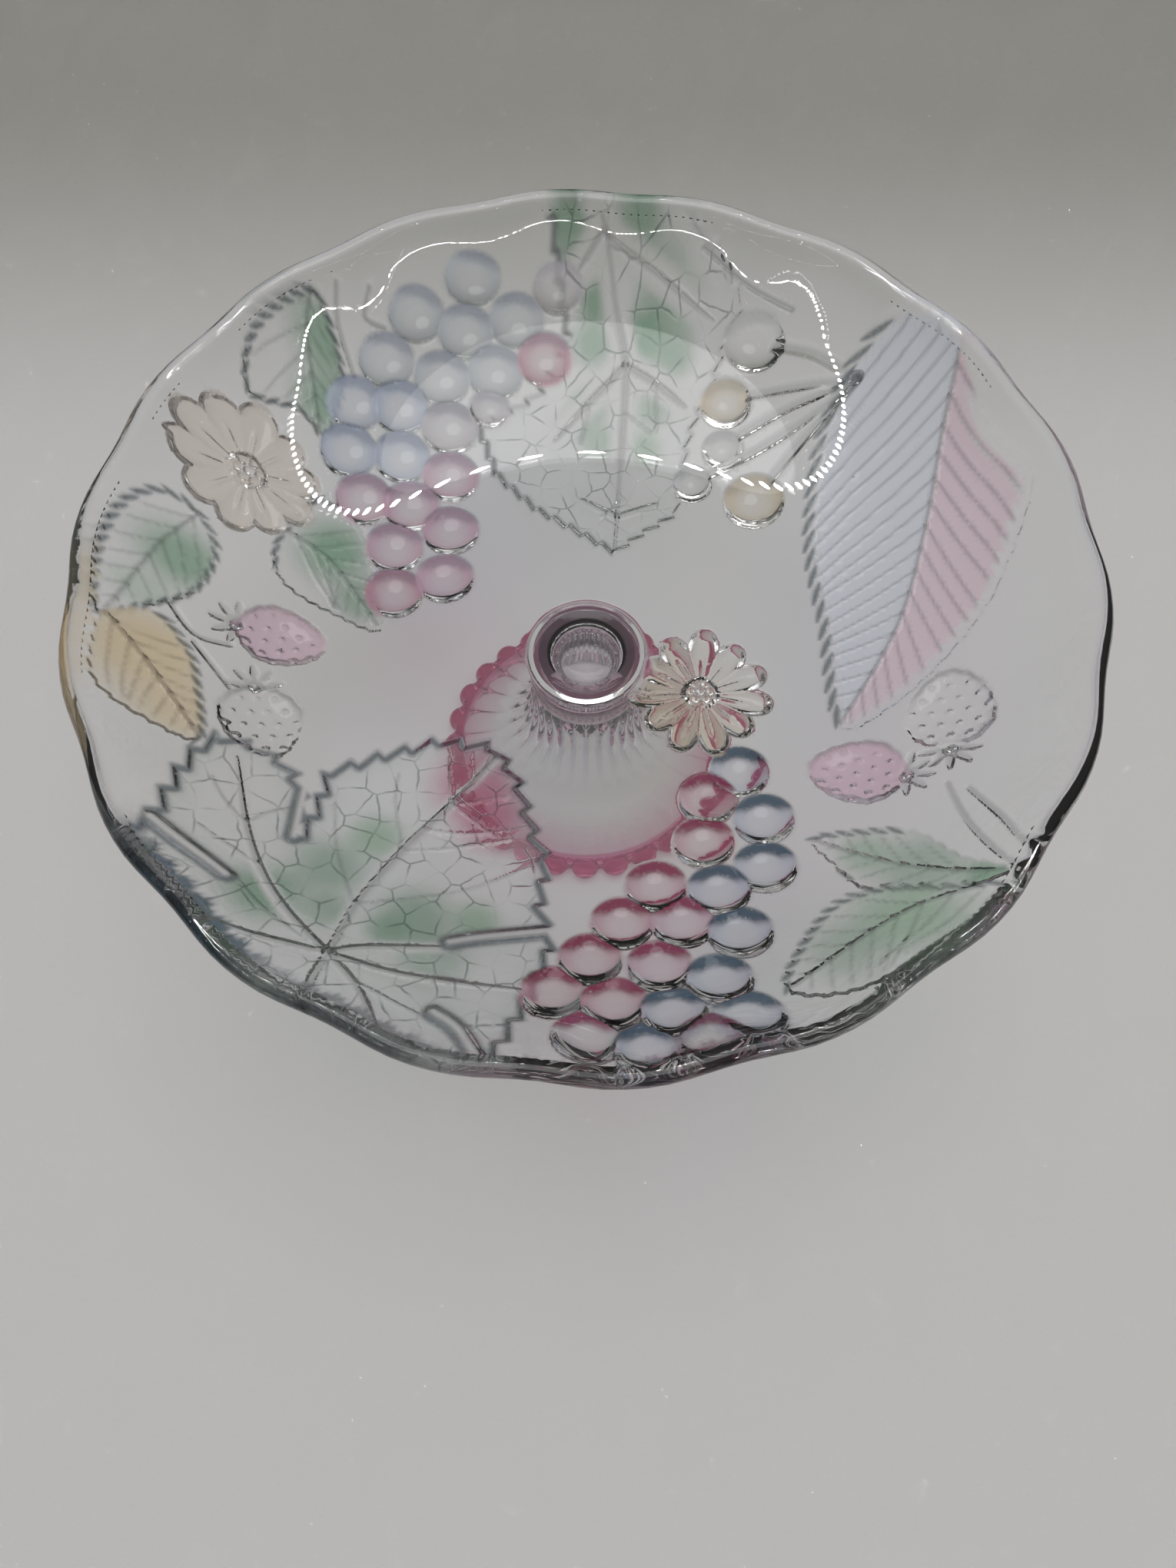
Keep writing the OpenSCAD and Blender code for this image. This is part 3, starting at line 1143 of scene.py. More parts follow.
def stems(relief: ReliefMap) -> None:
    """Draws the cherry, leaf and fruit stems.

    Args:
        relief: The map they go into.
    """
    joint = (98.0, 101.0)
    for line in (((69, 120), (84, 113), joint), ((60, 106), (78, 105), joint),
                 ((57, 92), (76, 99), joint), ((67, 72), (82, 88), joint),
                 ((46, 78), (70, 88), joint)):
        relief.stroke(spline(line, 5), 1.2, 1.3, Stain.GREY_LINE_AND_SHADE, 0.45)
    for line in (((-139, 0), (-131, -9), (-121, -9)),
                 ((-131, -12), (-124, -20), (-119, -26)),
                 ((120, -66), (125, -82), (127, -98)),
                 ((115, -62), (117, -79), (122, -101)),
                 ((-92, 128), (-92, 118), (-87, 104)),
                 ((-81, 131), (-83, 123), (-76, 122)),
                 ((42, 150), (60, 138), (75, 128))):
        relief.stroke(spline(line, 5), 0.65, 0.7, Stain.TEAL_LINE_AND_SHADE, 0.6)


@dataclass(frozen=True)
class RimBand:
    """Dark stain pooled inside the lip over part of the rim.

    Attributes:
        start: Where it starts, in degrees.
        stop: Where it stops, in degrees.
        depth: How far in it reaches, in mm.
        stain: Its stain.
        strength: Its strength.
    """

    start: float
    stop: float
    depth: float
    stain: Stain
    strength: float

    def mould(self, relief: ReliefMap) -> None:
        """Sprays the band with a ragged inner edge.

        Args:
            relief: The map that it goes into.
        """
        a = np.degrees(np.arctan2(relief.y * relief.squeeze, relief.x))
        mid, half = (self.start + self.stop) / 2, (self.stop - self.start) / 2
        away = np.abs((a - mid + 180) % 360 - 180) / half
        ragged = 0.9 * np.sin(a * 2.1) + 0.7 * np.sin(a * 7.3 + 1.0)
        inward = (relief.rim - relief.r) / (self.depth + ragged)
        band = smoothstep((1.15 - inward) / 0.35) * smoothstep(
            (1.1 - away) / 0.6)
        everywhere = (slice(None), slice(None))
        relief.spray(everywhere, self.stain, band * self.strength, 0.1)


RIM_BANDS = (
    RimBand(212, 240, 7.5, Stain.NAVY, 1.0),
    RimBand(236, 257, 7.0, Stain.NAVY, 0.85),
    RimBand(256, 275, 4.0, Stain.DUSTY, 0.7),
    RimBand(273, 292, 8.0, Stain.PLUM_INK, 0.75),
    RimBand(300, 318, 4.5, Stain.SMOKE, 0.5),
    RimBand(176, 198, 5.0, Stain.AMBER, 0.6),
)


# --------------------------------------------------------- shader helpers

def node(tree: bpy.types.NodeTree, kind: str,
         settings: dict[str, Any] | None = None, **links: Any
         ) -> bpy.types.Node:
    """Adds one node with its settings and links.

    Args:
        tree: The tree it goes into.
        kind: Its type name.
        settings: Properties of the node itself.
        **links: For each input, a value or an output socket; the input's
            name has its spaces as underscores, or is "i" and its index.

    Returns:
        The new node.
    """
    made = tree.nodes.new(kind)
    for name, value in (settings or {}).items():
        setattr(made, name, value)
    for name, value in links.items():
        if name[0] == "i" and name[1:].isdigit():
            socket = made.inputs[int(name[1:])]
        else:
            socket = made.inputs[name.replace("_", " ")]
        if isinstance(value, bpy.types.NodeSocket):
            tree.links.new(value, socket)
        else:
            socket.default_value = value
    return made


def new_material(name: str) -> tuple[bpy.types.Material,
                                     bpy.types.NodeTree]:
    """Makes an empty material.

    Args:
        name: The real material and how it is made.

    Returns:
        The material and its node tree.
    """
    material = bpy.data.materials.new(name)
    material.use_nodes = True
    material.node_tree.nodes.clear()
    return material, material.node_tree


def let_light_through(tree: bpy.types.NodeTree,
                      glass: bpy.types.NodeSocket, tint: Any) -> None:
    """Lets lamp light pass the glass, tinted, so it lights what is below.

    Args:
        tree: The material's tree.
        glass: The glass shader.
        tint: Its tint, as a colour or a socket.
    """
    path = node(tree, "ShaderNodeLightPath")
    soft = node(tree, "ShaderNodeMath", {"operation": "MAXIMUM"},
                i0=path.outputs["Is Shadow Ray"],
                i1=path.outputs["Is Diffuse Ray"])
    clear = node(tree, "ShaderNodeBsdfTransparent", Color=tint)
    mix = node(tree, "ShaderNodeMixShader", i0=soft.outputs[0],
               i1=glass, i2=clear.outputs[0])
    node(tree, "ShaderNodeOutputMaterial", Surface=mix.outputs[0])


@dataclass(frozen=True)
class StainedGlass:
    """Pressed glass with an airbrushed stain under it.

    The surface carries the stain as a colour attribute, with how milky it is
    as its alpha. A second attribute says where the net of fine vine-leaf
    veins runs.

    Attributes:
        name: Material name.
        cell: Size of one mesh of the vein net, in mm.
        line: Width of a fine vein, in mm.
        roughness: Roughness of the bare glass.
        frost: Extra roughness where the stain lies thick.
        cover: How much of the light a fully milky stain scatters.
        shade: Colour of the bare glass.
        cast: How much of the stain's colour the shadows take on.
        vein: Colour of the fine veins.
        plain: Colour of a shadow that takes on no stain.
        wander: How far the veins stray from straight, in mm.
        groove: Depth of the fine veins, in mm.
    """

    name: str = "pressed soda-lime glass, airbrushed stains"
    cell: float = 9.0
    line: float = 0.4
    roughness: float = 0.015
    frost: float = 0.12
    cover: float = 0.75
    shade: str = "#FDFEFF"
    cast: float = 1.0
    vein: str = "#98A0A0"
    plain: str = "#F4F4F4"
    wander: float = 1.6
    groove: float = 0.4

    def make(self) -> bpy.types.Material:
        """Builds the material: clear glass, soft colour, fine dark veins.

        Returns:
            The material.
        """
        material, tree = new_material(self.name)
        stain = node(tree, "ShaderNodeAttribute", {"attribute_name": "stain"})
        net = node(tree, "ShaderNodeAttribute", {"attribute_name": "net"})
        place = node(tree, "ShaderNodeTexCoord").outputs["Object"]
        # a little wander keeps the net's lines from being ruler straight
        wander = node(tree, "ShaderNodeTexNoise", {"noise_dimensions": "2D"},
                      Vector=place, Scale=1 / (6 * MM), Detail=2.0)
        offset = node(tree, "ShaderNodeVectorMath", {"operation": "SCALE"},
                      i0=wander.outputs["Color"], Scale=self.wander * MM)
        moved = node(tree, "ShaderNodeVectorMath", {"operation": "ADD"},
                     i0=place, i1=offset.outputs[0])
        cells = node(tree, "ShaderNodeTexVoronoi",
                     {"feature": "DISTANCE_TO_EDGE",
                      "voronoi_dimensions": "2D"},
                     Vector=moved.outputs[0], Scale=1 / (self.cell * MM))
        width = self.line / self.cell
        near = node(tree, "ShaderNodeMapRange",
                    {"interpolation_type": "SMOOTHSTEP"},
                    Value=cells.outputs["Distance"], From_Min=width * 0.35,
                    From_Max=width * 1.3, To_Min=1.0, To_Max=0.0)
        # the lines fade in and out, as the mould was cut by hand
        fade = node(tree, "ShaderNodeTexNoise", {"noise_dimensions": "2D"},
                    Vector=place, Scale=1 / (11 * MM), Detail=1.0)
        kept = node(tree, "ShaderNodeMapRange", None,
                    Value=fade.outputs["Fac"], From_Min=0.36, From_Max=0.6,
                    To_Min=0.1, To_Max=1.0)
        share = node(tree, "ShaderNodeMath", {"operation": "MULTIPLY"},
                     i0=kept.outputs[0], i1=net.outputs["Fac"])
        vein = node(tree, "ShaderNodeMath", {"operation": "MULTIPLY"},
                    i0=near.outputs[0], i1=share.outputs[0])
        dark = node(tree, "ShaderNodeMix", {"data_type": "RGBA",
                                            "blend_type": "MULTIPLY"},
                    i6=stain.outputs["Color"],
                    i7=rgba(self.vein))
        tree.links.new(vein.outputs[0], dark.inputs[0])
        base = node(tree, "ShaderNodeMix", {"data_type": "RGBA",
                                            "blend_type": "MULTIPLY"},
                    i0=1.0, i6=dark.outputs[2], i7=rgba(self.shade))
        bump = node(tree, "ShaderNodeBump", {"invert": True}, Strength=0.22,
                    Distance=self.groove * MM, Height=vein.outputs[0])
        open_share = node(tree, "ShaderNodeMath",
                          {"operation": "MULTIPLY_ADD"},
                          i0=stain.outputs["Alpha"], i1=-self.cover, i2=1.0)
        rough = node(tree, "ShaderNodeMath", {"operation": "MULTIPLY_ADD"},
                     i0=stain.outputs["Alpha"], i1=self.frost,
                     i2=self.roughness)
        glass = node(tree, "ShaderNodeBsdfPrincipled", None,
                     Base_Color=base.outputs[2], Roughness=rough.outputs[0],
                     IOR=GLASS_IOR, Transmission_Weight=open_share.outputs[0],
                     Normal=bump.outputs[0])
        cast = node(tree, "ShaderNodeMix", {"data_type": "RGBA"},
                    i0=self.cast, i6=rgba(self.plain),
                    i7=base.outputs[2])
        let_light_through(tree, glass.outputs[0], cast.outputs[2])
        return material


@dataclass(frozen=True)
class ClearPlastic:
    """Injection-moulded clear plastic, a little duller than glass.

    Attributes:
        name: Material name.
        tint: Its colour.
        haze: Size of its faint flow marks, in mm.
    """

    name: str = "injection-moulded clear plastic"
    tint: str = "#F4F5F6"
    haze: float = 3.0

    def make(self) -> bpy.types.Material:
        """Builds the material: clear, with faint moulding haze.

        Returns:
            The material.
        """
        material, tree = new_material(self.name)
        place = node(tree, "ShaderNodeTexCoord").outputs["Object"]
        flow = node(tree, "ShaderNodeTexNoise", None, Vector=place,
                    Scale=1 / (self.haze * MM), Detail=3.0)
        rough = node(tree, "ShaderNodeMapRange", None,
                     Value=flow.outputs["Fac"], To_Min=0.03, To_Max=0.12)
        plastic = node(tree, "ShaderNodeBsdfPrincipled", None,
                       Base_Color=rgba(self.tint), IOR=PLASTIC_IOR,
                       Roughness=rough.outputs[0], Transmission_Weight=0.96)
        let_light_through(tree, plastic.outputs[0],
                          rgba(self.tint))
        return material


@dataclass(frozen=True)
class StudioPaper:
    """Pale matt paper that falls into shade towards the back.

    Attributes:
        name: Material name.
        light: Its colour in front.
        shade: Its colour at the back.
        start: Where the shade begins, in m.
        stop: Where it is complete, in m.
    """

    name: str = "matt studio paper"
    light: str = "#E2E1E1"
    shade: str = "#A9A9A3"
    start: float = 0.12
    stop: float = 0.42

    def make(self) -> bpy.types.Material:
        """Builds the material: matt, and darker towards the back.

        Returns:
            The material.
        """
        material, tree = new_material(self.name)
        place = node(tree, "ShaderNodeTexCoord").outputs["Object"]
        split = node(tree, "ShaderNodeSeparateXYZ", None, i0=place)
        back = node(tree, "ShaderNodeMapRange",
                    {"interpolation_type": "SMOOTHSTEP"},
                    Value=split.outputs["Y"], From_Min=self.start,
                    From_Max=self.stop)
        tone = node(tree, "ShaderNodeMix", {"data_type": "RGBA"},
                    i0=back.outputs[0], i6=rgba(self.light),
                    i7=rgba(self.shade))
        paper = node(tree, "ShaderNodeBsdfPrincipled", None,
                     Base_Color=tone.outputs[2], Roughness=0.85)
        node(tree, "ShaderNodeOutputMaterial", Surface=paper.outputs[0])
        return material


# ---------------------------------------------------------------- shapes

def rounded(points: Sequence[tuple[float, float, float]], steps: int = 4
            ) -> list[Point]:
    """Rounds the corners of a profile.

    Args:
        points: Corners as radius, height and corner radius, in mm.
        steps: Segments in each rounded corner.

    Returns:
        The profile's points.
    """
    out: list[Point] = []
    n = len(points)
    for i, (x, z, radius) in enumerate(points):
        here = np.array([x, z])
        if radius <= 0:
            out.append((x, z))
            continue
        before = np.array(points[(i - 1) % n][:2]) - here
        after = np.array(points[(i + 1) % n][:2]) - here
        a = before / np.linalg.norm(before)
        b = after / np.linalg.norm(after)
        half = math.acos(float(np.clip(np.dot(a, b), -1, 1))) / 2
        reach = min(radius / math.tan(half), np.linalg.norm(before) * 0.48,
                    np.linalg.norm(after) * 0.48)
        start, end = here + a * reach, here + b * reach
        for k in range(steps + 1):
            t = k / steps
            q = (1 - t) ** 2 * start + 2 * t * (1 - t) * here + t * t * end
            out.append((float(q[0]), float(q[1])))
    return out


def lathe(profile: Sequence[Point], steps: int) -> bmesh.types.BMesh:
    """Spins a closed profile into a closed body.

    Args:
        profile: Radius and height of each point in mm, in order round it.
        steps: Steps round the axis.

    Returns:
        The body in metres, with its normals outward.
    """
    bm = bmesh.new()
    verts = [bm.verts.new((r * MM, 0, z * MM)) for r, z in profile]
    edges = [bm.edges.new((verts[i], verts[(i + 1) % len(verts)]))
             for i in range(len(verts))
             if profile[i][0] > 1e-6 or
             profile[(i + 1) % len(verts)][0] > 1e-6]
    bmesh.ops.spin(bm, geom=verts + edges, cent=(0, 0, 0), axis=(0, 0, 1),
                   dvec=(0, 0, 0), angle=math.tau, steps=steps,
                   use_merge=True)
    bmesh.ops.remove_doubles(bm, verts=bm.verts, dist=0.004 * MM)
    bmesh.ops.recalc_face_normals(bm, faces=bm.faces)
    return bm


def to_mesh(bm: bmesh.types.BMesh, name: str) -> bpy.types.Mesh:
    """Turns a bmesh into a mesh.

    Args:
        bm: The finished bmesh, which is freed.
        name: The mesh's name.

    Returns:
        The mesh.
    """
    mesh = bpy.data.meshes.new(name)
    bm.to_mesh(mesh)
    bm.free()
    return mesh


def add_object(name: str, data: bpy.types.ID) -> bpy.types.Object:
    """Adds an object to the scene.

    Args:
        name: The object's name.
        data: Its mesh, light or camera.

    Returns:
        The object, at the origin.
    """
    obj = bpy.data.objects.new(name, data)
    bpy.context.scene.collection.objects.link(obj)
    return obj


def store_stain(mesh: bpy.types.Mesh, stain: np.ndarray) -> None:
    """Stores the stain of each vertex, with how milky it is as its alpha."""
    layer = mesh.attributes.new("stain", "FLOAT_COLOR", "POINT")
    layer.data.foreach_set("color", stain.ravel())


def finish_piece(bm: bmesh.types.BMesh, name: str, angle: float = 38.0
                 ) -> bpy.types.Object:
    """Turns a bmesh into a smooth-shaded object at the origin.

    Args:
        bm: The finished bmesh, which is freed.
        name: The object's name.
        angle: Edges sharper than this stay crisp, in degrees.

    Returns:
        The object, linked to the scene.
    """
    mesh = to_mesh(bm, name)
    mesh.polygons.foreach_set("use_smooth", [True] * len(mesh.polygons))
    mesh.set_sharp_from_angle(angle=math.radians(angle))
    return add_object(name, mesh)


def coordinates(bm: bmesh.types.BMesh) -> np.ndarray:
    """Every vertex of a bmesh in mm."""
    return np.array([v.co[:] for v in bm.verts]) / MM


def refine(bm: bmesh.types.BMesh,
           wanted: Callable[[np.ndarray, np.ndarray], np.ndarray],
           rounds: int) -> None:
    """Splits edges until none is longer than the size wanted there.

    Args:
        bm: The mesh, triangulated as it is refined.
        wanted: Takes both ends of each edge in mm and gives the greatest
            length allowed.
        rounds: The most rounds of splitting.
    """
    bmesh.ops.triangulate(bm, faces=bm.faces, quad_method="SHORT_EDGE")
    for turn in range(rounds):
        bm.verts.index_update()
        bm.edges.ensure_lookup_table()
        co = coordinates(bm)
        ends = np.array([(e.verts[0].index, e.verts[1].index)
                         for e in bm.edges])
        a, b = co[ends[:, 0]], co[ends[:, 1]]
        flat = np.linalg.norm((a - b)[:, :2], axis=1)
        length = np.maximum(flat, 0.6 * np.linalg.norm(a - b, axis=1))
        chosen = np.nonzero(length > wanted(a, b))[0]
        log.info("  round %d: %d triangles, %d edges to split", turn + 1,
                 len(bm.faces), len(chosen))
        if not len(chosen):
            return
        bmesh.ops.subdivide_edges(bm, edges=[bm.edges[i] for i in chosen],
                                  cuts=1, use_grid_fill=False)
        bmesh.ops.triangulate(bm, faces=[f for f in bm.faces
                                         if len(f.verts) > 3],
                              quad_method="SHORT_EDGE")


@dataclass
class Bowl:
    """The wide shallow bowl with its moulded underside and its collar.

    Attributes:
        rim: Radius of the outermost point of the rim, in mm.
        height: Height of the lip, in mm.
        base: Height of the collar's lower edge, in mm.
        floor: Radius of the flat middle.
        under: Height of the underside in the middle.
        wall: Thickness of the glass.
        lip: Radius of the rounded lip.
        bore: Inner radius of the collar.
        collar: Outer radius of the collar.
        scallops: Number of scallops round the rim.
        swing: Half the depth of a scallop.
        phase: Direction of the first crest, in degrees.
        dent: How narrow the dents between the crests are.
        wave_from: Radius at which the scallops begin to show, in mm.
        wave_over: Over how many mm they grow to their full depth.
        finish: Its glass.
    """

    rim: float
    height: float
    base: float
    floor: float = FLOOR_R
    under: float = 84.0
    wall: float = 5.0
    lip: float = 3.1
    bore: float = 16.2
    collar: float = 20.5
    scallops: int = 18
    swing: float = 1.0
    phase: float = 15.0
    dent: float = 2.6
    wave_from: float = 136.0
    wave_over: float = 20.0
    finish: StainedGlass = field(default_factory=StainedGlass)

    def __post_init__(self) -> None:
        """Works out the arc of the wall, as for the CAD part."""
        self.lip_x = self.rim - self.lip - self.swing
        self.lip_z = self.height - self.lip
        run = self.lip_x - self.floor
        rise = self.lip_z - (self.under + self.wall / 2)
        self.arc = (run * run + rise * rise) / (2 * rise) + self.wall / 2
        self.arc_z = self.under + self.arc
        self.relief = ReliefMap(rim=self.rim)

    def profile(self) -> list[Point]:
        """The closed outline from the axis out and back.

        Returns:
            Radius and height of each point in mm.
        """
        top, out = self.under + self.wall, []
        socket = self.under - 0.4
        # the inside from the axis to the lip, then the lip itself
        out += [(r, top) for r in np.linspace(0, self.floor, 7)[:-1]]
        tilt = math.asin((self.lip_x - self.floor)
                         / (self.arc - self.wall / 2))
        inner = self.arc - self.wall
        for t in np.linspace(0, tilt, 22)[:-1]:
            out.append((self.floor + inner * math.sin(t),
                        self.arc_z - inner * math.cos(t)))
        for k in range(15):
            a = math.pi / 2 + tilt - math.pi * k / 14
            out.append((self.lip_x + self.lip * math.cos(a),
                        self.lip_z + self.lip * math.sin(a)))
        # the underside from the lip to the collar, then the collar
        for t in np.linspace(tilt, 0, 34)[1:]:
            out.append((self.floor + self.arc * math.sin(t),
                        self.arc_z - self.arc * math.cos(t)))
        out += [(r, self.under) for r in np.linspace(
            self.floor, self.collar + 1.6, 12)[1:]]
        out += rounded(((self.collar, self.under, 1.4),
                        (self.collar, self.base, 0.9),
                        (self.bore, self.base, 0.7),
                        (self.bore, socket, 1.0)), 4)
        out += [(8.0, socket), (0.0, socket)]
        return [(float(r), float(z)) for r, z in out]

    def under_z(self, r: np.ndarray) -> np.ndarray:
        """Height of the plain underside at a distance from the axis."""
        out = np.clip(r - self.floor, 0, self.arc * 0.98)
        return self.arc_z - np.sqrt(self.arc ** 2 - out ** 2)

    def scallop(self, co: np.ndarray) -> np.ndarray:
        """Waves the rim in and out.

        Args:
            co: Places in mm.

        Returns:
            The places moved.
        """
        r = np.hypot(co[:, 0], co[:, 1])
        a = np.arctan2(co[:, 1], co[:, 0]) - math.radians(self.phase)
        # narrow dents between broad crests
        wave = 1 - 2 * np.abs(np.sin(self.scallops * a / 2)) ** self.dent
        push = wave * self.swing * smoothstep(
            (r - self.wave_from) / self.wave_over)
        scale = 1 + push / np.maximum(r, 1)
        return np.column_stack([co[:, 0] * scale, co[:, 1] * scale, co[:, 2]])

    def moulded(self, x: np.ndarray, y: np.ndarray) -> np.ndarray:
        """The underside with its relief at plan places.

        Args:
            x: Plan x in mm.
            y: Plan y in mm.

        Returns:
            Places in mm.
        """
        r = np.maximum(np.hypot(x, y), 1e-6)
        tilt = np.arcsin(np.clip((r - self.floor) / self.arc, 0, 0.98))
        h = self.relief.at(self.relief.height, x, y)
        out = np.sin(tilt) * h
        return self.scallop(np.column_stack([
            x + out * x / r, y + out * y / r,
            self.under_z(r) - np.cos(tilt) * h]))

    def build(self) -> bpy.types.Object:
        """Makes, refines and dresses the bowl.

        Returns:
            The bowl's object.
        """
        for motif in vine_motifs() + leaf_motifs() + fruit_motifs():
            motif.mould(self.relief)
        stems(self.relief)
        for band in RIM_BANDS:
            band.mould(self.relief)
        self.relief.settle()
        bm = lathe(self.profile(), 180)
        low, high = self.collar + 1.7, self.lip_x + 1.0

        def on_underside(co: np.ndarray) -> np.ndarray:
            """Which places lie on the plain underside.

            Args:
                co: Places in mm.

            Returns:
                True where a place lies on it.
            """
            r = np.hypot(co[:, 0], co[:, 1])
            gap = np.abs(co[:, 2] - self.under_z(r))
            return (gap < 0.35) & (r > low) & (r < high)

        def wanted(a: np.ndarray, b: np.ndarray) -> np.ndarray:
            """Greatest length allowed for each edge.

            Args:
                a: The edges' first ends in mm.
                b: Their second ends in mm.

            Returns:
                The lengths in mm.
            """
            mid = (a + b) / 2
            size = self.relief.at(self.relief.size, mid[:, 0], mid[:, 1])
            below = on_underside(a) & on_underside(b)
            return np.where(below, size, FAR_OFF)

        refine(bm, wanted, 4)
        co = coordinates(bm)
        below = on_underside(co)
        moved = self.scallop(co)
        moved[below] = self.moulded(co[below, 0], co[below, 1])
        normals = np.zeros_like(co)
        step = 0.15
        x, y = co[below, 0], co[below, 1]
        along = self.moulded(x + step, y) - self.moulded(x - step, y)
        across = self.moulded(x, y + step) - self.moulded(x, y - step)
        facing = np.cross(across, along)
        facing /= np.linalg.norm(facing, axis=1, keepdims=True)
        edge = np.hypot(x, y) > self.lip_x - 3
        facing[edge] = 0
        normals[below] = facing
        for v, place in zip(bm.verts, moved):
            v.co = Vector(place) * MM
        obj = finish_piece(bm, "bowl_glass", 180.0)
        self._dress(obj, co, below, normals)
        return obj

    def _dress(self, obj: bpy.types.Object, co: np.ndarray,
               below: np.ndarray, normals: np.ndarray) -> None:
        """Writes the stain, the vein net and the normals.

        Args:
            obj: The bowl.
            co: Plan places of its vertices before moulding, in mm.
            below: Which vertices lie on the underside.
            normals: Their normals, zero where Blender's own are kept.
        """
        mesh = obj.data
        stain = np.ones((len(co), 4), dtype=np.float32)
        stain[:, 3] = 0
        r = np.hypot(co[:, 0], co[:, 1])
        shown = below | (r > self.lip_x)
        x, y = co[shown, 0], co[shown, 1]
        stain[shown, :3] = self.relief.at(self.relief.tint, x, y)
        stain[shown, 3] = self.relief.at(self.relief.milk, x, y)
        collar = (r < self.collar + 0.2) & (co[:, 2] < self.under - 0.2)
        stain[collar, :3] = 0.6 + 0.4 * Stain.DUSTY.rgb
        store_stain(mesh, stain)
        net = np.zeros(len(co), dtype=np.float32)
        net[shown] = self.relief.at(self.relief.cells, x, y)
        layer = mesh.attributes.new("net", "FLOAT", "POINT")
        layer.data.foreach_set("value", net)
        mesh.normals_split_custom_set_from_vertices(
            [tuple(n) for n in normals])
        mesh.materials.append(self.finish.make())
        log.info("bowl: %d triangles", len(mesh.polygons))


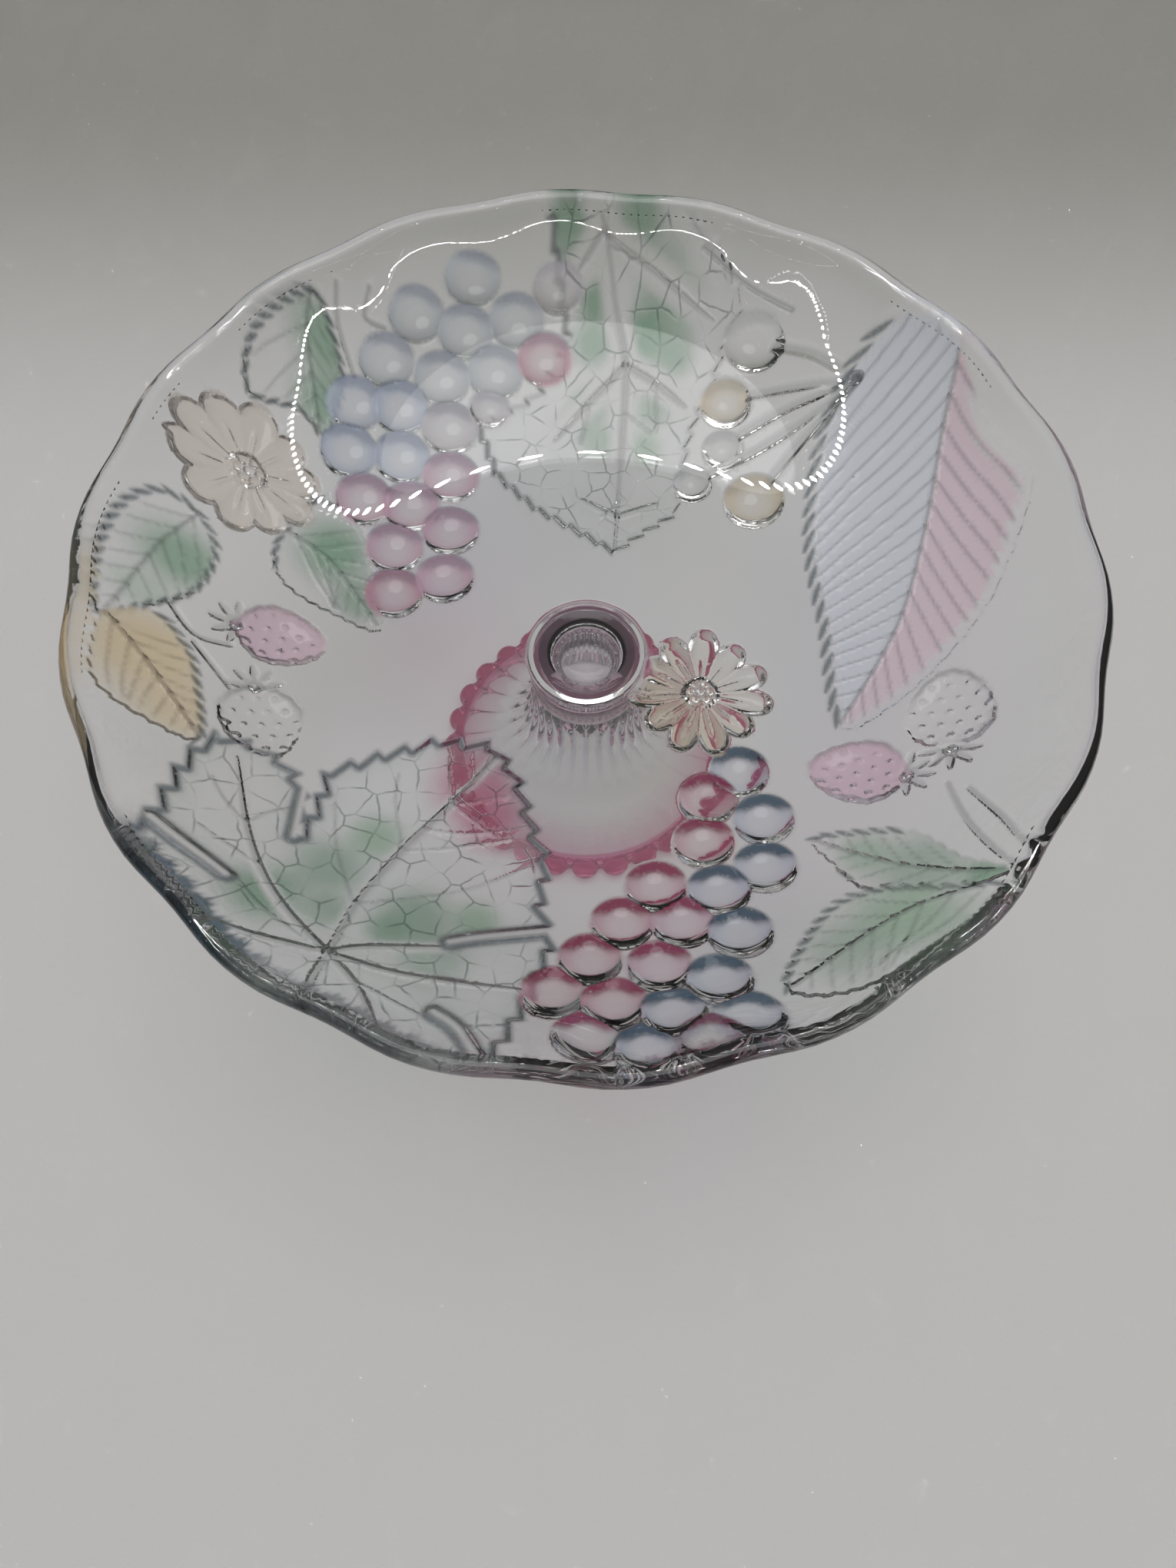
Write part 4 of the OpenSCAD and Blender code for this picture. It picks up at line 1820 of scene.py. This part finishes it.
@dataclass
class Foot:
    """The hollow fluted foot with its ring of beads.

    Attributes:
        top: Height of the neck, in mm.
        reach: Radius of the outermost point of the beads, in mm.
        bead: Radius of one bead.
        beads: Number of beads and of flutes.
        bore: Radius of the bore in the neck.
        waist: Outer radius of the narrowest part.
        sweep: Radius of the outward sweep.
        toe: Height of the lowest point of the sweep's circle.
        ring: Outer radius of the neck ring.
        flute: How far each flute stands out.
        band: Height of the band that carries the beads.
        sole: Height of the edge that it stands on.
        finish: Its glass.
    """

    top: float
    reach: float
    bead: float = 5.5
    beads: int = 28
    bore: float = 14.0
    waist: float = 20.0
    sweep: float = 44.0
    toe: float = 10.0
    ring: float = 20.4
    flute: float = 0.85
    band: float = 11.4
    sole: float = 0.02
    finish: StainedGlass = field(default_factory=lambda: StainedGlass(
        name="pressed soda-lime glass, pink stained foot", roughness=0.03,
        frost=0.1, shade="#F7F8F7", cast=0.3))

    @property
    def sweep_centre(self) -> Point:
        """Radius and height of the centre of the outward sweep."""
        return self.waist + self.sweep, self.toe + self.sweep

    def profile(self) -> list[Point]:
        """The closed outline of the foot's wall.

        Returns:
            Radius and height of each point in mm.
        """
        cx, cz = self.sweep_centre
        rim = self.reach - 2 * self.bead + 3.0
        out: list[Point] = []
        # outside, down from the neck ring
        out += rounded(((self.bore, self.top, 0.8),
                        (self.ring, self.top, 1.2),
                        (self.ring, self.top - 5.6, 1.4),
                        (self.waist, self.top - 9.0, 1.6)), 4)
        out += [(self.waist, z) for z in np.linspace(self.top - 11, cz, 4)]
        for a in np.linspace(0, 66, 22)[1:]:
            t = math.radians(a)
            out.append((cx - self.sweep * math.cos(t),
                        cz - self.sweep * math.sin(t)))
        # down the band, and across the edge that it stands on
        out.append((rim - 0.6, self.band + 0.5))
        out += [(rim, z) for z in np.linspace(self.band, 0.3, 12)]
        out += rounded(((rim, self.sole, 0.0),
                        (self.reach - 9.0, self.sole, 0.8),
                        (self.reach - 9.3, 6.5, 1.2)), 3)
        # up the hollow inside to the bore
        inner = self.sweep + self.waist - self.bore
        for a in np.linspace(52, 0, 18):
            t = math.radians(a)
            out.append((cx - inner * math.cos(t), cz - inner * math.sin(t)))
        out.append((self.bore, self.top - 12))
        return out

    def build(self) -> bpy.types.Object:
        """Spins the wall, raises the flutes and beads and dresses it.

        Returns:
            The foot's object.
        """
        bm = lathe(self.profile(), self.beads * 14)
        co = coordinates(bm)
        r = np.hypot(co[:, 0], co[:, 1])
        a = np.arctan2(co[:, 1], co[:, 0])
        wave = np.cos(self.beads * (a + math.pi / self.beads))
        cx, cz = self.sweep_centre
        z = co[:, 2]
        skin = cx - np.sqrt(np.clip(self.sweep ** 2 - np.clip(
            cz - z, 0, None) ** 2, 0, None))
        outside = (r > skin - 0.8) & (z > 12.2) & (z < self.top - 9.4)
        fade = smoothstep((self.top - 11 - z) / 4) * smoothstep(
            (z - 12) / 2.5)
        push = np.where(outside, self.flute * (0.5 + 0.5 * wave) ** 0.6
                        * fade, 0)
        # beads stand out of the foot's outer edge
        centre, level = self.reach - self.bead, self.bead + 0.3
        pitch = math.tau / self.beads
        off = ((a + pitch / 2) % pitch - pitch / 2) * centre
        across = np.clip(self.bead ** 2 - (z - level) ** 2, 0, None)
        # the beads run into one soft band
        ball = np.maximum(np.sqrt(np.clip(across - off ** 2, 0, None)),
                          0.25 * np.sqrt(across))
        edge = (r > centre - 3.4) & (z < 11.6)
        target = centre + ball - 0.2
        push = np.where(edge & (target > r) & (ball > 0), target - r, push)
        scale = 1 + push / np.maximum(r, 1)
        for v, s in zip(bm.verts, scale):
            v.co.x *= s
            v.co.y *= s
        obj = finish_piece(bm, "foot_glass", 40.0)
        self._dress(obj, co, wave, edge)
        return obj

    def _dress(self, obj: bpy.types.Object, co: np.ndarray,
               wave: np.ndarray, banded: np.ndarray) -> None:
        """Stains the beads and the neck, and paints shade into the flute
        grooves.

        Args:
            obj: The foot.
            co: Places before the flutes were raised, in mm.
            wave: Flute wave at each vertex.
            banded: Which vertices lie on the bead band.
        """
        z = co[:, 2]
        r = np.hypot(co[:, 0], co[:, 1])
        stain = np.ones((len(co), 4), dtype=np.float32)
        stain[:, 3] = 0.03
        # painted shade in the grooves between the flutes, deeper towards the
        # neck
        groove = smoothstep((0.3 - wave) / 1.0) * smoothstep(
            (self.top - 10 - z) / 6) * smoothstep((z - 12) / 4)
        outer = r > self.waist - 2
        neck = smoothstep((z - self.top + 7) / 2)
        for amount, tint, milk in (
                (0.8 * groove * outer * smoothstep((z - 24) / 26),
                 Stain.GREY_BLUE.rgb, 0.05),
                (1.0 * banded, Stain.ROSE.rgb, 0.05),
                (0.7 * neck, Stain.DUSTY.rgb, 0.4)):
            a = np.asarray(amount, dtype=np.float32)[:, None]
            stain[:, :3] = stain[:, :3] * (1 - a) + tint * a
            stain[:, 3] = stain[:, 3] * (1 - a[:, 0]) + milk * a[:, 0]
        store_stain(obj.data, stain)
        obj.data.materials.append(self.finish.make())
        log.info("foot: %d faces", len(obj.data.polygons))


@dataclass
class Connector:
    """The ribbed push-in connector between bowl and foot.

    Attributes:
        low: Height of its lower end, in mm.
        high: Height of its rim.
        seat: Height of the neck it rests on.
        reach: Radius to the outside of its lugs.
        bore: Radius of its barrel.
        lugs: Number of lugs.
        ribs: Number of ribs inside the cup.
        lug_height: Height of a lug.
        wall: Thickness of the cup's wall.
        bottom: Thickness of the cup's bottom.
        notch: Depth of the notches in its rim.
        finish: Its plastic.
    """

    low: float
    high: float
    seat: float
    reach: float
    bore: float = 13.96
    lugs: int = 14
    ribs: int = 40
    lug_height: float = 3.4
    wall: float = 1.35
    bottom: float = 5.0
    notch: float = 1.4
    finish: ClearPlastic = field(default_factory=ClearPlastic)

    def build(self) -> bpy.types.Object:
        """Spins the cup, then cuts ribs, notches and lugs by angle.

        Returns:
            The connector's object.
        """
        lug = self.seat + self.lug_height
        inner = self.bore - self.wall
        floor = self.low + self.bottom
        profile = [(0.0, self.low)]
        profile += rounded(((self.bore, self.low, 0.5),
                            (self.bore, self.seat, 0.0),
                            (self.reach, self.seat, 0.3),
                            (self.reach, lug, 0.4), (self.bore, lug, 0.0),
                            (self.bore, self.high, 0.3),
                            (inner, self.high, 0.3)), 3)
        profile += [(inner, z) for z in np.linspace(self.high - 1, floor, 5)]
        profile += [(0.0, floor)]
        bm = lathe(profile, 280)
        for v in bm.verts:
            co = v.co / MM
            r = math.hypot(co.x, co.y)
            a = math.atan2(co.y, co.x)
            if r < 0.1:
                continue
            push = 0.0
            turn = (a / math.tau * self.lugs) % 1.0
            if r > self.bore + 0.4 and co.z > self.seat + 0.5:
                if 0.32 < turn < 0.68:
                    push = self.bore + 0.02 - r
            elif abs(r - inner) < 0.6 and co.z > floor - 0.1:
                rib = math.cos(self.ribs * a)
                push = 0.5 * max(-1.0, min(1.0, 2.0 * rib))
            if co.z > self.high - 0.8 and (turn < 0.2 or turn > 0.8):
                v.co.z -= self.notch * MM
            v.co.x *= 1 + push / r
            v.co.y *= 1 + push / r
        obj = finish_piece(bm, "connector_plastic", 30.0)
        obj.data.materials.append(self.finish.make())
        log.info("connector: %d faces", len(obj.data.polygons))
        return obj


# ----------------------------------------------------------------- studio

@dataclass
class Studio:
    """Floor, soft light, ring of small lamps and the camera.

    Attributes:
        lens: Focal length of the camera, in mm.
        sensor: Width of its sensor, in mm.
        stand: Where it stands, in m.
        pitch: How far it looks down from level, in degrees.
        roll: How far it is turned about its own axis, in degrees.
        ring_radius: Radius of the ring of lamps, in m.
        ring_centre: The middle of that ring, in m.
        lamps: Number of lamps in the ring.
        lamp_radius: Radius of one lamp, in m.
        lamp_strength: How brightly a lamp glows.
        top_place: Where the soft light hangs, in m.
        top_size: Its diameter, in m.
        top_power: Its power, in W.
        sky_rise: Heights between which the sky turns brighter, from 0 at
            the horizon to 1 overhead.
        sky_levels: Its brightness below and above them.
        sky_tint: Its colour.
        floor_half: Half the side of the floor, in m.
        bounces: The most bounces of a light path.
        clear_bounces: The most clear surfaces that light passes straight.
    """

    lens: float = 26.47
    sensor: float = 36.0
    stand: tuple[float, float, float] = (0.0009, -0.207, 0.441)
    pitch: float = 66.3
    roll: float = 0.5
    ring_radius: float = 1.6
    ring_centre: tuple[float, float, float] = (0.2, -1.13, 1.5)
    lamps: int = 170
    lamp_radius: float = 0.014
    lamp_strength: float = 180.0
    top_place: tuple[float, float, float] = (0.0, -0.1, 1.6)
    top_size: float = 1.3
    top_power: float = 7.5
    sky_rise: Point = (-0.05, 0.8)
    sky_levels: Point = (0.2, 0.46)
    sky_tint: str = "#F6F4F1"
    floor_half: float = 4.0
    bounces: int = 14
    clear_bounces: int = 12

    def floor(self) -> bpy.types.Object:
        """Lays the paper floor.

        Returns:
            The floor.
        """
        bm = bmesh.new()
        bmesh.ops.create_grid(bm, x_segments=2, y_segments=2,
                              size=self.floor_half)
        mesh = to_mesh(bm, "studio_floor")
        mesh.materials.append(StudioPaper().make())
        obj = add_object("studio_floor", mesh)
        return obj

    def ring_lamp(self) -> bpy.types.Object:
        """The ring of small bright lamps overhead, seen only in the glass.

        Returns:
            The lamps as one object.
        """
        bm = bmesh.new()
        for i in range(self.lamps):
            a = math.tau * i / self.lamps
            place = Matrix.Translation((
                self.ring_centre[0] + self.ring_radius * math.cos(a),
                self.ring_centre[1] + self.ring_radius * math.sin(a),
                self.ring_centre[2]))
            bmesh.ops.create_icosphere(bm, subdivisions=1, matrix=place,
                                       radius=self.lamp_radius)
        mesh = to_mesh(bm, "ring_lamp")
        material, tree = new_material("small bright lamp")
        glow = node(tree, "ShaderNodeEmission", None,
                    Strength=self.lamp_strength)
        node(tree, "ShaderNodeOutputMaterial", Surface=glow.outputs[0])
        material.cycles.emission_sampling = "NONE"
        mesh.materials.append(material)
        obj = add_object("ring_lamp", mesh)
        obj.visible_camera = False
        obj.visible_diffuse = False
        obj.visible_shadow = False
        return obj

    def soft_light(self, name: str, place: Vector, aim: Vector,
                   size: float, power: float) -> None:
        """Adds one soft area light.

        Args:
            name: Its name.
            place: Where it stands, in m.
            aim: What it looks at.
            size: Its diameter in m.
            power: Its power in W.
        """
        light = bpy.data.lights.new(name, "AREA")
        light.shape, light.size, light.energy = "DISK", size, power
        obj = add_object(name, light)
        obj.location = place
        obj.rotation_euler = (aim - place).to_track_quat("-Z", "Y").to_euler()

    def sky(self) -> None:
        """Even light, brightest overhead and dim at the horizon."""
        world = bpy.data.worlds.new("studio_sky")
        bpy.context.scene.world = world
        world.use_nodes = True
        tree = world.node_tree
        tree.nodes.clear()
        way = node(tree, "ShaderNodeTexCoord").outputs["Generated"]
        split = node(tree, "ShaderNodeSeparateXYZ", None, i0=way)
        rise = node(tree, "ShaderNodeMapRange",
                    {"interpolation_type": "SMOOTHSTEP"},
                    Value=split.outputs["Z"], From_Min=self.sky_rise[0],
                    From_Max=self.sky_rise[1], To_Min=self.sky_levels[0],
                    To_Max=self.sky_levels[1])
        light = node(tree, "ShaderNodeBackground", None,
                     Color=rgba(self.sky_tint),
                     Strength=rise.outputs[0])
        node(tree, "ShaderNodeOutputWorld", Surface=light.outputs[0])

    def camera(self) -> None:
        """Places the camera above the front of the bowl."""
        data = bpy.data.cameras.new("camera")
        data.lens, data.sensor_width = self.lens, self.sensor
        obj = add_object("camera", data)
        obj.location = self.stand
        down = Matrix.Rotation(math.radians(90 - self.pitch), 4, "X")
        spin = Matrix.Rotation(math.radians(self.roll), 4, "Z")
        obj.rotation_euler = (down @ spin).to_euler()
        bpy.context.scene.camera = obj

    def build(self) -> None:
        """Sets up the whole studio."""
        self.floor()
        self.ring_lamp()
        self.soft_light("top_light", Vector(self.top_place),
                        Vector((0, 0, 0)), self.top_size, self.top_power)
        self.sky()
        self.camera()
        scene = bpy.context.scene
        scene.view_settings.view_transform = "Standard"
        scene.cycles.max_bounces = self.bounces
        scene.cycles.transmission_bounces = self.bounces
        scene.cycles.transparent_max_bounces = self.clear_bounces


def main() -> None:
    """Builds the bowl, the foot and the connector in the studio."""
    logging.basicConfig(level=logging.INFO, format="%(message)s")
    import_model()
    low, high = (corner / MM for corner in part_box("bowl"))
    bowl = Bowl(rim=high.x, height=high.z, base=low.z)
    shown = bowl.build()
    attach(shown, "bowl")
    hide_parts("bowl")

    low, high = (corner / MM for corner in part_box("foot"))
    foot = Foot(top=high.z, reach=high.x)
    shown = foot.build()
    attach(shown, "base")
    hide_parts("foot")

    seat = high.z
    low, high = (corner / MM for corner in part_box("connector"))
    connector = Connector(low=low.z, high=high.z, seat=seat, reach=high.x)
    shown = connector.build()
    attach(shown, "base")
    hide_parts("connector")

    Studio().build()


if __name__ == "__main__":
    main()
